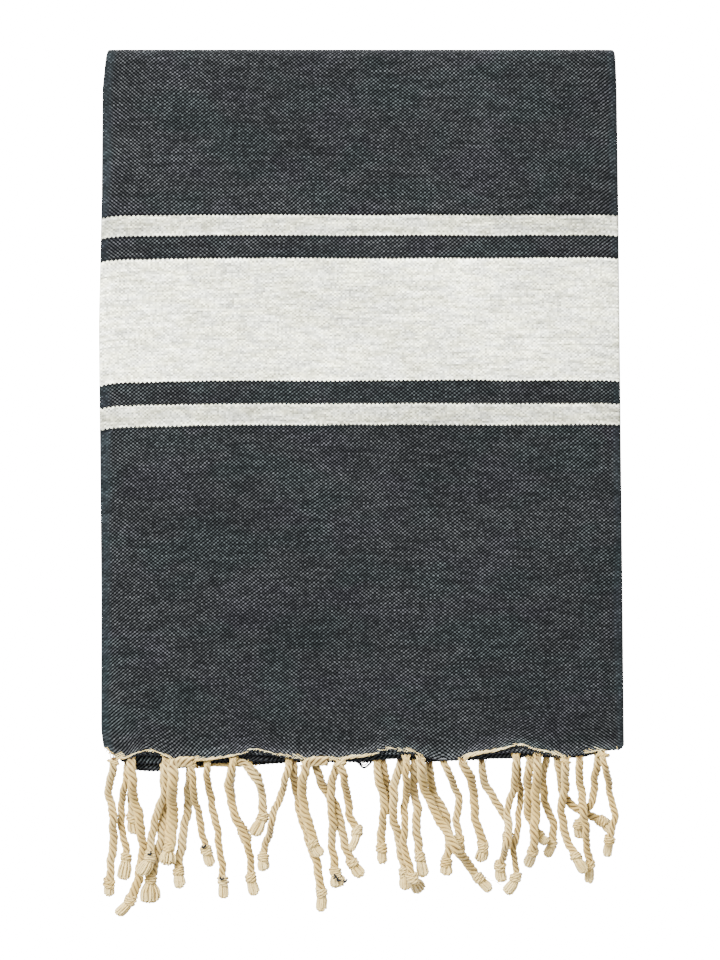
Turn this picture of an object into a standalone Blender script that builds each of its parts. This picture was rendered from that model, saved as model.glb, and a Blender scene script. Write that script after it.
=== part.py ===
"""Flat-woven hammam towel with knotted fringes, folded and lying on a surface.

The cloth is folded in three across its width and in four along its length, and it lies
face up with both of its fringed ends at the near side, one over the other.

Metres, +Z up. The towel rests on z = 0. Its selvedge folds are at -X and +X, its two far
folds at +Y, and its strands reach toward -Y.
"""

import math
from typing import NamedTuple

import bmesh
import bpy
import numpy as np
from mathutils import Vector

MM = 0.001

# ---------------------------------------------------------------- driving sizes
SHEET = 1.0 * MM            # thickness of the woven cloth
PITCH = 1.6 * MM            # from the middle of one layer to the middle of the next
GAP = 0.3 * MM              # between the cloth's raw edge and the fringe's strip
STRIP = 2.6 * MM            # how far the strip of fringe roots reaches from the edge
FAR_FOLD = 271.4 * MM       # y of the axis of the two far folds
NEAR_FOLD = -177.2 * MM     # y of the axis of the fold that lies under the hems
HEM = -177.0 * MM           # y of the straight line that both raw edges waver about
FLAP = 328.0 * MM           # how wide each side flap is, from its fold to its selvedge
FLAP_SHARE = 0.4            # how much a flap's raw edge wavers, of what its middle panel does
FLAP_LOWER = 1.0 * MM       # how much lower the back edge's flaps hang
LEFT_TURN = 0.5             # radius of the left side fold, in layers,
RIGHT_TURN = 1.0            # and of the right one, whose flap lies outside the left flap
PANEL_ROWS = 5              # rows of faces down each quarter of the length
FLAP_COLUMNS = 6            # columns of faces across a side flap

ROOT = 10.0 * MM            # width of a strand's flat root, where it leaves the strip
TAPER = 15.0 * MM           # length in which the root gathers into a round strand
WIDE = 4.7 * MM             # width of a strand
HIGH = 4.2 * MM             # height of a strand
KNOT_WIDE = 8.4 * MM
KNOT_HIGH = 6.6 * MM
KNOT = 7.6 * MM             # length of a knot
TAIL_WIDE = 6.0 * MM        # width of the loose end past its knot
RING = 6.0 * MM             # between the rings down a strand
FALL = 8.0 * MM             # run in which a strand comes down to the surface,
FALL_SLOPE = 1.15           # and how much further for each metre that its root is up
CLEAR = 0.4 * MM            # kept between strands that cross
EASE = 0.45                 # how much of a crossing's rise its neighbours share
RAISES = 400                # most small rises that settle one strand over the others
STEP = 1.2 * MM             # between the samples that crossings are worked out on
MARGIN = 9.0 * MM           # of the cloth at a raw edge that a strand above may lie on
MARGIN_STEP = 2.0 * MM
CURVE_STEPS = 16            # samples along each stretch of a strand's curve


class Edge(NamedTuple):
    """Where the two side folds of the top layer stand, at one place down the length."""

    y: float
    left: float
    right: float


OUTLINE = [Edge(y * MM, left * MM, right * MM) for y, left, right in (
    (281.0, -165.1, 164.3),
    (255.0, -167.7, 165.3),
    (183.0, -168.3, 166.3),
    (100.0, -170.1, 167.1),
    (-75.0, -168.5, 169.1),
    (-174.0, -168.7, 170.1),
)]


class Hem(NamedTuple):
    """How far the two raw edges drop below the hem line, at one place across them."""

    x: float
    front: float
    back: float


HEMS = [Hem(x * MM, front * MM, back * MM) for x, front, back in (
    (-168.0, 0.0, 1.0),
    (-147.0, -0.5, 7.0),
    (-137.0, -2.4, 8.0),
    (-122.0, 3.0, 7.0),
    (-98.0, 1.6, 4.0),
    (-69.0, -4.2, 6.0),
    (-37.0, 2.6, 4.0),
    (-10.0, 0.4, 4.0),
    (17.0, -4.2, 3.0),
    (46.0, 1.2, 3.0),
    (72.0, -2.0, 2.0),
    (102.0, -6.0, 1.5),
    (129.0, 0.0, 1.0),
    (150.0, -3.8, 0.5),
    (168.0, -4.8, 0.0),
)]


class Fold(NamedTuple):
    """A fold of the whole width, as an arc that the middle panel follows."""

    axis: float         # y of the arc's axis
    level: float        # height of the axis, in layers
    radius: float       # in layers
    start: float        # degrees, from +Y toward +Z
    turn: float         # degrees
    flaps: int          # 1 where the side flaps lie outside the arc, -1 inside
    slip_left: float    # how far the next quarter's left side stands in from the top's
    slip_right: float
    steps: int


FOLDS = (
    Fold(FAR_FOLD, 5.5, 5.5, 90, -180, -1, 1.6 * MM, 0.8 * MM, 8),
    Fold(NEAR_FOLD, 2.5, 2.5, -90, -180, -1, 0.6 * MM, 2.2 * MM, 6),
    Fold(FAR_FOLD, 5.5, 0.5, -90, 180, 1, 2.4 * MM, 1.4 * MM, 4),
)
TOP_LEVEL = 11              # layers below the top one


class Swell(NamedTuple):
    """A soft rise or hollow that runs through all the layers."""

    x: float
    y: float
    reach: float
    share: float        # of the stack's height


SWELLS = [Swell(x * MM, y * MM, reach * MM, share) for x, y, reach, share in (
    (-90.0, 190.0, 85.0, 0.050),
    (70.0, 150.0, 70.0, -0.030),
    (110.0, 20.0, 80.0, 0.045),
    (-60.0, -10.0, 90.0, -0.035),
    (-110.0, -110.0, 60.0, 0.040),
    (30.0, -120.0, 70.0, 0.035),
    (140.0, -150.0, 50.0, -0.030),
)]


class Strand(NamedTuple):
    """One twisted and knotted strand, by where it passes, as seen from above.

    The x of its root, of a quarter, a half and three quarters of the way to its knot, of
    the knot and of the tip; the knot and the tip also by how far below the hem they lie.
    """

    panel: str
    root: float
    quarter: float
    half: float
    late: float
    knot: float
    knot_drop: float
    tip: float
    tip_drop: float


FRONT_STRANDS = (
    Strand("right flap", -100, -99, -95, -92, -90, 82, -90, 94),
    Strand("right flap", -47, -50, -56, -60, -64, 68, -62, 77),
    Strand("right flap", 53, 59, 63, 62, 63, 55, 64, 65),
    Strand("right flap", 100, 99, 95, 95, 90, 72, 91, 83),
    Strand("right flap", 153, 152, 151, 148, 141, 45, 143, 54),
    Strand("left flap", -147, -145, -142, -143, -150, 93, -156, 102),
    Strand("left flap", -133, -132, -131, -133, -137, 66, -142, 78),
    Strand("left flap", -83, -86, -81, -73, -72, 80, -69, 91),
    Strand("left flap", 29, 29, 28, 28, 33, 79, 37, 89),
    Strand("left flap", 114, 113, 113, 112, 111, 62, 107, 72),
    Strand("left flap", 141, 142, 144, 146, 148, 72, 148, 84),
    Strand("middle", -161, -163, -162, -162, -164, 84, -165, 94),
    Strand("middle", -122, -122, -123, -123, -125, 60, -126, 71),
    Strand("middle", -110, -109, -107, -104, -101, 62, -98, 73),
    Strand("middle", -36, -38, -38, -34, -31, 58, -26, 66),
    Strand("middle", -14, -11, -9, -10, -4, 49, -4, 61),
    Strand("middle", 38, 41, 50, 62, 76, 80, 84, 88),
    Strand("middle", 65, 72, 73, 75, 79, 59, 78, 70),
    Strand("middle", 132, 132, 130, 132, 139, 66, 145, 76),
    Strand("middle", 156, 159, 162, 164, 161, 55, 160, 67),
)
BACK_STRANDS = (
    Strand("middle", -149, -149, -149, -149, -149, 41, -148, 52),
    Strand("middle", -84, -85, -85, -82, -77, 50, -73, 58),
    Strand("middle", 14, 15, 16, 16, 17, 38, 18, 49),
    Strand("middle", 25, 21, 21, 25, 28, 77, 29, 88),
    Strand("middle", 44, 46, 54, 57, 55, 70, 55, 79),
    Strand("middle", 78, 80, 86, 94, 95, 53, 95, 62),
    Strand("middle", 120, 118, 119, 125, 125, 61, 121, 70),
    Strand("left flap", -156, -157, -157, -155, -153, 70, -155, 84),
    Strand("left flap", -111, -112, -114, -117, -119, 76, -117, 87),
    Strand("left flap", -62, -61, -60, -58, -57, 50, -57, 60),
    Strand("left flap", -30, -24, -15, -12, -6, 70, 0, 80),
    Strand("left flap", 10, 12, 15, 13, 13, 61, 14, 71),
    Strand("left flap", 101, 103, 102, 99, 100, 80, 93, 90),
    Strand("left flap", 127, 129, 131, 137, 156, 43, 163, 49),
    Strand("right flap", -128, -132, -135, -138, -137, 81, -136, 96),
    Strand("right flap", -75, -68, -65, -64, -64, 40, -69, 52),
    Strand("right flap", -44, -42, -34, -29, -26, 89, -26, 102),
    Strand("right flap", -16, -20, -19, -19, -17, 76, -15, 88),
    Strand("right flap", 34, 34, 36, 36, 38, 67, 41, 79),
    Strand("right flap", 109, 108, 108, 109, 115, 52, 121, 57),
)


# ---------------------------------------------------------------- across the width
class Across(NamedTuple):
    """A place across the spread-out width, in the folded section."""

    panel: str
    x: float            # -1 at the left fold, 1 at the right fold, on a flat panel
    out: float          # metres that a side fold stands out from there
    level: float        # layers from the middle panel toward the flaps


def side_fold(x, radius, start, turn, steps=4):
    """The inner stations of a side fold, from one flat panel to the other."""
    for step in range(steps + 1):
        angle = math.radians(start + turn * step / steps)
        yield Across("fold", x, math.cos(angle) * radius * PITCH, radius + math.sin(angle) * radius)


def section():
    """The folded width, from the left flap's selvedge to the right flap's."""
    half = (OUTLINE[-1].right - OUTLINE[-1].left) / 2
    free = 1 - FLAP / half
    left = [Across("left flap", -free + (free - 1) * k / FLAP_COLUMNS, 0.0, 2 * LEFT_TURN)
            for k in range(FLAP_COLUMNS)]
    right = [Across("right flap", 1 + (free - 1) * (k + 1) / FLAP_COLUMNS, 0.0, 2 * RIGHT_TURN)
             for k in range(FLAP_COLUMNS)]
    middle = [Across("middle", hem.x / half, 0.0, 0.0) for hem in HEMS[1:-1]]
    return (left + list(side_fold(-1.0, LEFT_TURN, 90, 180)) + middle
            + list(side_fold(1.0, RIGHT_TURN, -90, 180)) + right)


# ---------------------------------------------------------------- down the length
class Along(NamedTuple):
    """A place down the length: where the middle panel is, and which way its flaps lie."""

    y: float
    level: float
    flap_y: float
    flap_level: float
    slip_left: float
    slip_right: float
    hem: float          # 1 at the front raw edge, -1 at the back one, 0 between


def lengthwise():
    """The length from the front raw edge, over the three folds, to the back raw edge."""
    stations = []
    y, level, flap_level = HEM, TOP_LEVEL, -1.0
    slips = (0.0, 0.0)
    for fold in FOLDS:
        for row in range(1 if stations else 0, PANEL_ROWS):
            share = row / PANEL_ROWS
            stations.append(Along(y + (fold.axis - y) * share, level, 0.0, flap_level, *slips,
                                  0.0 if stations else 1.0))
        for step in range(fold.steps + 1):
            share = step / fold.steps
            angle = math.radians(fold.start + fold.turn * share)
            away = (math.cos(angle), math.sin(angle))
            stations.append(Along(
                fold.axis + away[0] * fold.radius * PITCH, fold.level + away[1] * fold.radius,
                away[0] * fold.flaps, away[1] * fold.flaps,
                slips[0] + (fold.slip_left - slips[0]) * share,
                slips[1] + (fold.slip_right - slips[1]) * share, 0.0))
        y, level = fold.axis, round(stations[-1].level)
        flap_level = stations[-1].flap_level
        slips = (fold.slip_left, fold.slip_right)
    for row in range(1, PANEL_ROWS + 1):
        share = row / PANEL_ROWS
        stations.append(Along(y + (HEM - y) * share, level, 0.0, flap_level, *slips,
                              -1.0 if row == PANEL_ROWS else 0.0))
    return stations


def side_folds(y):
    """The x of the left and right side folds of the top layer, at y."""
    ys = [edge.y for edge in reversed(OUTLINE)]
    return (np.interp(y, ys, [edge.left for edge in reversed(OUTLINE)]),
            np.interp(y, ys, [edge.right for edge in reversed(OUTLINE)]))


def hem_drop(x, which, panel):
    """How far a raw edge hangs below the hem line at x; a flap's edge wavers less."""
    drops = [hem.front if which > 0 else hem.back for hem in HEMS]
    drop = float(np.interp(x, [hem.x for hem in HEMS], drops))
    if panel == "middle":
        return drop
    return drop * FLAP_SHARE + (FLAP_LOWER if which < 0 else 0.0)


def settled(x, y, z):
    """A point of the stack with the soft swells in it; what touches the surface stays."""
    rise = sum(swell.share * math.exp(-((x - swell.x) ** 2 + (y - swell.y) ** 2)
                                      / swell.reach ** 2) for swell in SWELLS)
    return Vector((x, y, z + (z - SHEET / 2) * rise))


def on_cloth(along, across):
    """A point of the cloth's middle surface."""
    level = along.level + across.level * along.flap_level
    y = along.y + across.level * PITCH * along.flap_y
    left, right = side_folds(y)
    left += along.slip_left + (SHEET + PITCH) / 2
    right -= along.slip_right + SHEET / 2 + PITCH
    x = (left + right) / 2 + across.x * (right - left) / 2 + across.out
    if along.hem:
        y -= hem_drop(x, along.hem, across.panel)
    return settled(x, y, level * PITCH + SHEET / 2)


# ---------------------------------------------------------------- strands, as they lie
def smooth(value):
    """0 to 1 with a soft start and end."""
    value = min(max(value, 0.0), 1.0)
    return value * value * (3 - 2 * value)


def route(strand, start):
    """A strand's way as seen from above: runs from its root, x and y there, the knot's run."""
    knot = HEM - strand.knot_drop * MM
    tip = HEM - strand.tip_drop * MM
    xs = [x * MM for x in (strand.root, strand.quarter, strand.half, strand.late, strand.knot,
                           strand.tip)]
    ys = [start + (knot - start) * share for share in (0, 0.25, 0.5, 0.75, 1.0)] + [tip]
    points = [Vector(place) for place in zip(xs, ys)]
    before = Vector((points[0].x, 2 * points[0].y - points[1].y))
    ends = [before, *points, 2 * points[-1] - points[-2]]
    dense = []
    for a, b, c, d in zip(ends, ends[1:], ends[2:], ends[3:]):
        for t in np.arange(CURVE_STEPS) / CURVE_STEPS:
            dense.append(0.5 * (2 * b + (c - a) * t + (2 * a - 5 * b + 4 * c - d) * t ** 2
                                + (3 * b - a - 3 * c + d) * t ** 3))
    dense.append(points[-1])
    lengths = [(after - place).length for place, after in zip(dense, dense[1:])]
    run = np.concatenate([[0.0], np.cumsum(lengths)])
    return run, np.array([tuple(place) for place in dense]), run[CURVE_STEPS * 4]


def girth(s, knot, length):
    """Width and height of a strand at a run s from its root."""
    gather = smooth(s / TAPER)
    wide = ROOT + (WIDE - ROOT) * gather
    high = SHEET + (HIGH - SHEET) * gather
    if s > knot:
        wide += (TAIL_WIDE - WIDE) * smooth((s - knot - KNOT / 2) / (length - knot - KNOT / 2))
    bulge = 1 - smooth((abs(s - knot) / KNOT - 0.3) / 0.35)
    return wide + (KNOT_WIDE - wide) * bulge, high + (KNOT_HIGH - high) * bulge


def ring_runs(knot, length):
    """The runs at which a strand has a ring of four corners."""
    neck = knot - KNOT * 0.65
    body = max(round((neck - TAPER) / RING), 2)
    return np.array([0.0, TAPER * 0.22, TAPER * 0.5, *np.linspace(TAPER, neck, body + 1),
                     knot - KNOT * 0.3, knot + KNOT * 0.3, knot + KNOT * 0.65, length])


def lay(strand, root, ground):
    """Lay a strand from its root down to the surface, over whatever lies there already.

    Gives its rings as rows of x, y, heading x, heading y, half width, underside and top,
    and the ground with this strand on it, as rows of x, y, half width and top.
    """
    run, path, knot = route(strand, root.y)
    rings = ring_runs(knot, run[-1])
    place = np.column_stack([np.interp(rings, run, path[:, k]) for k in (0, 1)])
    around = np.gradient(path, run, axis=0)
    heading = np.column_stack([np.interp(rings, run, around[:, k]) for k in (0, 1)])
    turned = np.array([smooth(s / TAPER) for s in rings])[:, None]
    heading = heading * turned + np.array((0.0, -1.0)) * (1 - turned)
    heading /= np.linalg.norm(heading, axis=1)[:, None]
    girths = np.array([girth(s, knot, run[-1]) for s in rings])
    base = root.z - SHEET / 2
    under = np.array([base * (1 - smooth(s / (FALL + base * FALL_SLOPE))) for s in rings])

    between = np.union1d(np.arange(0.0, rings[-1], STEP), rings)
    x, y, half, high = (np.interp(between, rings, column) for column in (
        *place.T, girths[:, 0] / 2, girths[:, 1]))
    needed = np.zeros(len(between))
    for k in range(len(between)):
        apart = np.hypot(ground[:, 0] - x[k], ground[:, 1] - y[k])
        below = ground[apart < ground[:, 2] + half[k] + CLEAR, 3]
        if len(below):
            needed[k] = below.max() + CLEAR
    under = raised(under, rings, between, needed)
    laid = np.column_stack([x, y, half, np.interp(between, rings, under) + high])
    return np.column_stack([place, heading, girths[:, 0] / 2, under, under + girths[:, 1]]), \
        np.vstack([ground, laid])


def raised(under, rings, between, needed):
    """The underside at each ring, raised until its straight runs clear what is needed."""
    natural = under.copy()
    shares = np.array([np.interp(between, rings, row) for row in np.eye(len(rings))]).T
    shares[:, 0] = 0.0
    root = under[0] * np.maximum(1 - between / rings[1], 0.0)
    for _ in range(RAISES):
        lack = needed - root - shares @ under
        worst = lack.argmax()
        if lack[worst] < CLEAR / 20:
            break
        row = shares[worst]
        if row.any():
            under = under + row * lack[worst] / (row @ row)
        else:
            needed[worst] = 0.0
    lift = under - natural
    for _ in range(2):
        lift[1:-1] = np.maximum(lift[1:-1], EASE * (lift[:-2] + lift[2:]))
    return natural + lift


def grow(bm, face, rings):
    """Draw a strand out of its root face, ring by ring."""
    centre = face.calc_center_median()
    signs = [(1 if v.co.x > centre.x else -1, v.co.z > centre.z) for v in face.verts]
    for x, y, heading_x, heading_y, half, under, top in rings[1:]:
        face = bmesh.ops.extrude_discrete_faces(bm, faces=[face])["faces"][0]
        for vertex, (right, upper) in zip(face.verts, signs):
            vertex.co = (x - right * half * heading_y, y + right * half * heading_x,
                         top if upper else under)


# ---------------------------------------------------------------- objects
def material(name, colour, roughness):
    made = bpy.data.materials.new(name)
    made.use_nodes = True
    shader = made.node_tree.nodes["Principled BSDF"]
    shader.inputs["Base Color"].default_value = (*colour, 1.0)
    shader.inputs["Roughness"].default_value = roughness
    shader.inputs["Metallic"].default_value = 0.0
    return made


def new_object(name, mesh, finish, collection):
    made = bpy.data.objects.new(name, mesh)
    made.data.materials.append(finish)
    collection.objects.link(made)
    return made


def cloth(finish, collection):
    """The whole woven cloth: one sheet, from raw edge to raw edge, with all its folds."""
    across, along = section(), lengthwise()
    points = [on_cloth(row, column) for row in along for column in across]
    width = len(across)
    faces = [(k, k + 1, k + 1 + width, k + width)
             for row in range(len(along) - 1)
             for k in range(row * width, (row + 1) * width - 1)]
    mesh = bpy.data.meshes.new("towel_cloth")
    mesh.from_pydata(points, [], faces)
    mesh.shade_smooth()
    made = new_object("towel_cloth", mesh, finish, collection)
    thick = made.modifiers.new("cloth thickness", "SOLIDIFY")
    thick.thickness = SHEET
    thick.offset = 0.0
    thick.use_even_offset = True
    return made


def hem_line(which):
    """The raw edge as stations (panel, x, y, z), straight between the cloth's columns."""
    along = lengthwise()[0 if which > 0 else -1]
    return [(column.panel, *on_cloth(along, column)) for column in section()]


def margin(which, panel):
    """The cloth and strip along one panel's raw edge, as ground for the strands above it."""
    edge = np.array([place for flat, *place in hem_line(which) if flat == panel])
    edge = edge[edge[:, 0].argsort()]
    xs = np.arange(edge[0, 0], edge[-1, 0], MARGIN_STEP)
    ys, zs = (np.interp(xs, edge[:, 0], edge[:, k]) for k in (1, 2))
    rows = np.arange(-STRIP, MARGIN, MARGIN_STEP)
    return np.array([(x, y + row + MARGIN_STEP / 2, MARGIN_STEP / 2, z + SHEET / 2)
                     for x, y, z in zip(xs, ys, zs) for row in rows])


def strip_stations(line, strands):
    """The stations of a fringe's strip: the cloth's own, and both sides of every root."""
    stations, roots = [], {}
    for (panel, *start), (after, *end) in zip(line, line[1:]):
        stations.append(Vector(start))
        flat = panel if panel != "fold" else after
        low, high = sorted((start[0], end[0]))
        sides = [(strand.root * MM + way * ROOT / 2, strand) for strand in strands
                 for way in (-1, 1) if strand.panel == flat]
        inner = [side for side in sides if low < side[0] < high]
        for x, strand in sorted(inner, key=lambda side: side[0], reverse=end[0] < start[0]):
            share = (x - start[0]) / (end[0] - start[0])
            stations.append(Vector(start).lerp(Vector(end), share))
            roots.setdefault(strand, []).append(len(stations) - 1)
    stations.append(Vector(line[-1][1:]))
    return stations, roots


def strip_across(stations, k):
    """The way through the strip's thickness at a station, square to its section."""
    before, after = stations[max(k - 1, 0)], stations[min(k + 1, len(stations) - 1)]
    run = Vector((after.x - before.x, 0.0, after.z - before.z)).normalized()
    return Vector((-run.z, 0.0, run.x))


def strip(bm, stations, roots):
    """The strip's box, drawn along its stations; gives the front face of every root."""
    inside = {k for first, last in roots.values() for k in range(first + 1, last)}
    whole = [k for k in range(len(stations)) if k not in inside]
    reach = (Vector((0.0, GAP, 0.0)), Vector((0.0, STRIP, 0.0)))
    halves = [strip_across(stations, k) * SHEET / 2 for k in range(len(stations))]
    back, front = ([[bm.verts.new(place - out + way * half) for way in (-1, 1)]
                    for place, half in zip(stations, halves)] for out in reach)
    for k in inside:
        for corner in front[k]:
            bm.verts.remove(corner)
    for near, far in zip(back, back[1:]):
        bm.faces.new((near[0], near[1], far[1], far[0]))
    faces = {}
    for first, last in zip(whole, whole[1:]):
        faces[first] = bm.faces.new((front[first][1], front[first][0], front[last][0],
                                     front[last][1]))
        for way in (0, 1):
            bm.faces.new([front[first][way], *(back[k][way] for k in range(first, last + 1)),
                          front[last][way]])
    for k in (0, -1):
        bm.faces.new((back[k][0], back[k][1], front[k][1], front[k][0]))
    return {strand: faces[first] for strand, (first, last) in roots.items()}


def fringe(name, which, strands, ground, finish, collection):
    """One fringe: the narrow strip along a raw edge, with its strands grown out of it."""
    stations, roots = strip_stations(hem_line(which), strands)
    bm = bmesh.new()
    faces = strip(bm, stations, roots)
    for panel in dict.fromkeys(strand.panel for strand in strands):
        for strand in strands:
            if strand.panel == panel:
                first, last = roots[strand]
                root = (stations[first] + stations[last]) / 2 - Vector((0.0, STRIP, 0.0))
                rings, ground = lay(strand, root, ground)
                grow(bm, faces[strand], rings)
        ground = np.vstack([ground, margin(which, panel)])
    bmesh.ops.recalc_face_normals(bm, faces=bm.faces)
    mesh = bpy.data.meshes.new(name)
    bm.to_mesh(mesh)
    bm.free()
    new_object(name, mesh, finish, collection)
    return ground


def main():
    for old in list(bpy.data.objects):
        bpy.data.objects.remove(old, do_unlink=True)
    collection = bpy.data.collections.new("hammam towel")
    bpy.context.scene.collection.children.link(collection)
    weave = material("charcoal cotton weave", (0.045, 0.055, 0.070), 0.9)
    cord = material("natural cotton strands", (0.69, 0.54, 0.32), 0.85)
    cloth(weave, collection)
    ground = np.zeros((0, 4))
    ground = fringe("back_fringe", -1, BACK_STRANDS, ground, cord, collection)
    fringe("front_fringe", 1, FRONT_STRANDS, ground, cord, collection)


main()
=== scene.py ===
"""The looks of a folded, flat-woven hammam towel with knotted fringes.

The cloth is woven in two banded borders and folded in three across its width and in four
along its length. It lies face up, with its two raw edges and their twisted, knotted warp
ends at the near side.

Metres, +Z up. The towel rests on z = 0, its selvedge folds are at -X and +X, its far folds
at +Y, and its fringes reach toward -Y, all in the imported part's own frame.
"""

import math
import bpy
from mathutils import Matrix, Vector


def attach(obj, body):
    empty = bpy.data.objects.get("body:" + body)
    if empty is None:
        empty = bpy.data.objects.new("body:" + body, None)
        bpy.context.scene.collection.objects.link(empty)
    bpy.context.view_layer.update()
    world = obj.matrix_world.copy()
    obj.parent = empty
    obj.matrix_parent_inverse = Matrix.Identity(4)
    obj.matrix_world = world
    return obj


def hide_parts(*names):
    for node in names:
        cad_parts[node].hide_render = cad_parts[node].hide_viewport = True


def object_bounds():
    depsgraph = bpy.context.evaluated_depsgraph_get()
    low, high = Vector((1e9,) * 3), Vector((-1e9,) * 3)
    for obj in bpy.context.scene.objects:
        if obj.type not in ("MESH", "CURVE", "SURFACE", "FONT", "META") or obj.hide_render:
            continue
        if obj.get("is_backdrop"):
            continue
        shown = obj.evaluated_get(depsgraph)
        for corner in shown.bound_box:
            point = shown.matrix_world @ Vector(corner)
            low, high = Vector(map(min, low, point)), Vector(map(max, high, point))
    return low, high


bl_info = {
    "name": "Hammam towel",
    "version": (1, 0, 0),
    "blender": (4, 5, 0),
    "location": "3D View > Sidebar > Towel",
    "description": "Weaves, folds and knots a hammam towel around its packed solids",
    "category": "Object",
}

from functools import lru_cache, reduce
from operator import mul
from typing import NamedTuple

import bpy
import numpy as np
from bpy.props import FloatProperty, FloatVectorProperty, IntProperty, PointerProperty
from mathutils import Vector

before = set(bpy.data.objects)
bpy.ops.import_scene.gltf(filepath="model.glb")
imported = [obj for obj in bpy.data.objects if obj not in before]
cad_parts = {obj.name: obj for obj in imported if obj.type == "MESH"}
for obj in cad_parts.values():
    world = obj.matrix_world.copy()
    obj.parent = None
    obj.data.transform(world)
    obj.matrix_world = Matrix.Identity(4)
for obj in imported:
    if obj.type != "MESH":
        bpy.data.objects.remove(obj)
SOLID_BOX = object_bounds()

MM = 0.001

# ---------------------------------------------------------------- sizes that the solids have
SHEET = 1.0 * MM            # thickness of the solid's cloth
PITCH = 1.6 * MM            # from the middle of one layer to the middle of the next
STRIP = 2.6 * MM            # from the raw edge to the front of the solid strip of roots
FAR_FOLD = 271.4 * MM       # y of the axis of the two far folds
NEAR_FOLD = -177.2 * MM     # y of the axis of the fold that lies under the hems
SQUARENESS = 0.62           # power that presses the far folds square; 1 leaves them round
HEM = -177.0 * MM           # y of the straight line that both raw edges waver about
FLAP = 328.0 * MM           # how wide each side flap is, from its fold to its selvedge
FLAP_SHARE = 0.4            # how much a flap's raw edge wavers, of what its middle panel does
FLAP_LOWER = 1.0 * MM       # how much lower the back edge's flaps hang
LEFT_TURN = 0.5             # radius of the left side fold, in layers,
RIGHT_TURN = 1.0            # and of the right one
TOP_LEVEL = 11              # layers below the top one

ROOT = 10.0 * MM            # width of a strand's flat root
TAPER = 15.0 * MM           # length in which the root gathers into a round strand
WIDE = 4.7 * MM             # width of a strand
HIGH = 4.2 * MM             # height of a strand
KNOT_WIDE = 8.4 * MM
KNOT_HIGH = 6.6 * MM
KNOT = 7.6 * MM             # length of a knot
KNOT_FULL = 0.3             # knot lengths from its middle in which it is full,
KNOT_EASE = 0.35            # in which it then thins to its strand,
NECK = 0.65                 # and at which its strand has the next rings
ROOT_RINGS = (0.22, 0.5)    # shares of the taper at which the root has rings
TAIL_WIDE = 6.0 * MM        # width of the loose end past its knot
RING = 6.0 * MM             # between the rings down a solid strand
FALL = 8.0 * MM             # run in which a strand comes down to the surface,
FALL_SLOPE = 1.15           # and how much further for each metre that its root is up
CLEAR = 0.4 * MM            # kept between strands that cross
EASE = 0.45                 # how much of a crossing's rise its neighbours share
RAISES = 400                # most small rises that settle one strand over the others
STEP = 1.2 * MM             # between the samples that crossings are worked out on
MARGIN = 9.0 * MM           # of the cloth at a raw edge that a strand above may lie on
MARGIN_STEP = 2.0 * MM
CURVE_STEPS = 16            # samples along each stretch of a strand's curve


class Edge(NamedTuple):
    """Where the two side folds of the top layer stand, at one place down the length."""

    y: float
    left: float
    right: float


OUTLINE = [Edge(y * MM, left * MM, right * MM) for y, left, right in (
    (281.0, -165.1, 164.3),
    (255.0, -167.7, 165.3),
    (183.0, -168.3, 166.3),
    (100.0, -170.1, 167.1),
    (-75.0, -168.5, 169.1),
    (-174.0, -168.7, 170.1),
)]


class Hem(NamedTuple):
    """How far the two raw edges drop below the hem line, at one place across them."""

    x: float
    front: float
    back: float


HEMS = [Hem(x * MM, front * MM, back * MM) for x, front, back in (
    (-168.0, -6.0, -6.5), (-163.0, -1.0, -3.0), (-161.0, 0.6, -1.0), (-156.0, 1.6, 3.0),
    (-150.0, 1.0, 6.5), (-146.0, -2.4, 9.2), (-138.0, -2.8, 10.0), (-131.0, -1.5, 9.8),
    (-125.0, 2.8, 8.6),
    (-118.0, 3.2, 8.0), (-111.0, 2.4, 7.0), (-104.0, 2.2, 6.4), (-97.0, 1.7, 5.0),
    (-80.0, -0.6, 4.4), (-69.0, -3.9, 6.0), (-57.0, -0.6, 5.0), (-38.0, 2.7, 4.0),
    (-20.0, 2.6, 4.0), (-6.0, 0.3, 4.0), (8.0, -0.8, 4.0), (17.0, -4.3, 1.5),
    (24.0, -3.0, 1.5), (36.0, -1.3, 4.0), (50.0, 2.7, 3.5), (61.0, 2.2, 3.0),
    (74.0, -2.0, 2.6), (90.0, -4.3, 1.0), (102.0, -7.2, 1.5), (107.0, -5.5, -1.5),
    (112.0, -3.6, -3.0), (129.0, 0.8, 1.0), (146.0, -2.0, -1.0), (156.0, -4.0, -4.5),
    (167.5, -4.4, -6.0), (170.5, -8.5, -8.5),
)]
ENDS = 148.0 * MM           # past this far from the middle, flaps waver with their panel,
ENDS_REACH = 14.0 * MM      # wholly so this much further out

# How far the fold that lies under the hems stands out from straight: x and y, in millimetres.
NEAR_STANDS = (
    (-168.0, -11.5), (-161.0, -6.5), (-155.0, -3.5), (-147.0, 1.0), (-138.0, 2.5),
    (-129.0, 1.5), (-122.0, 0.0), (-98.0, -1.5), (-69.0, 0.0), (-38.0, -0.7), (-6.0, -0.5),
    (8.0, -0.7), (17.0, -4.5), (24.0, -4.5), (36.0, -0.7), (61.0, -1.5), (74.0, -2.0),
    (90.0, -4.0), (102.0, -3.0), (112.0, -5.2), (129.0, -5.0), (146.0, -6.0),
    (156.0, -9.0), (168.0, -11.0),
)
NEAR_LEVELS = 5.5           # the layers up to here end in that fold


class Fold(NamedTuple):
    """A fold of the whole width, as an arc that the middle panel follows."""

    axis: float         # y of the arc's axis
    level: float        # height of the axis, in layers
    radius: float       # in layers
    start: float        # degrees, from +Y toward +Z
    turn: float         # degrees
    flaps: int          # 1 where the side flaps lie outside the arc, -1 inside
    slip_left: float    # how far the next quarter's left side stands in from the top's
    slip_right: float
    steps: int


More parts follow.
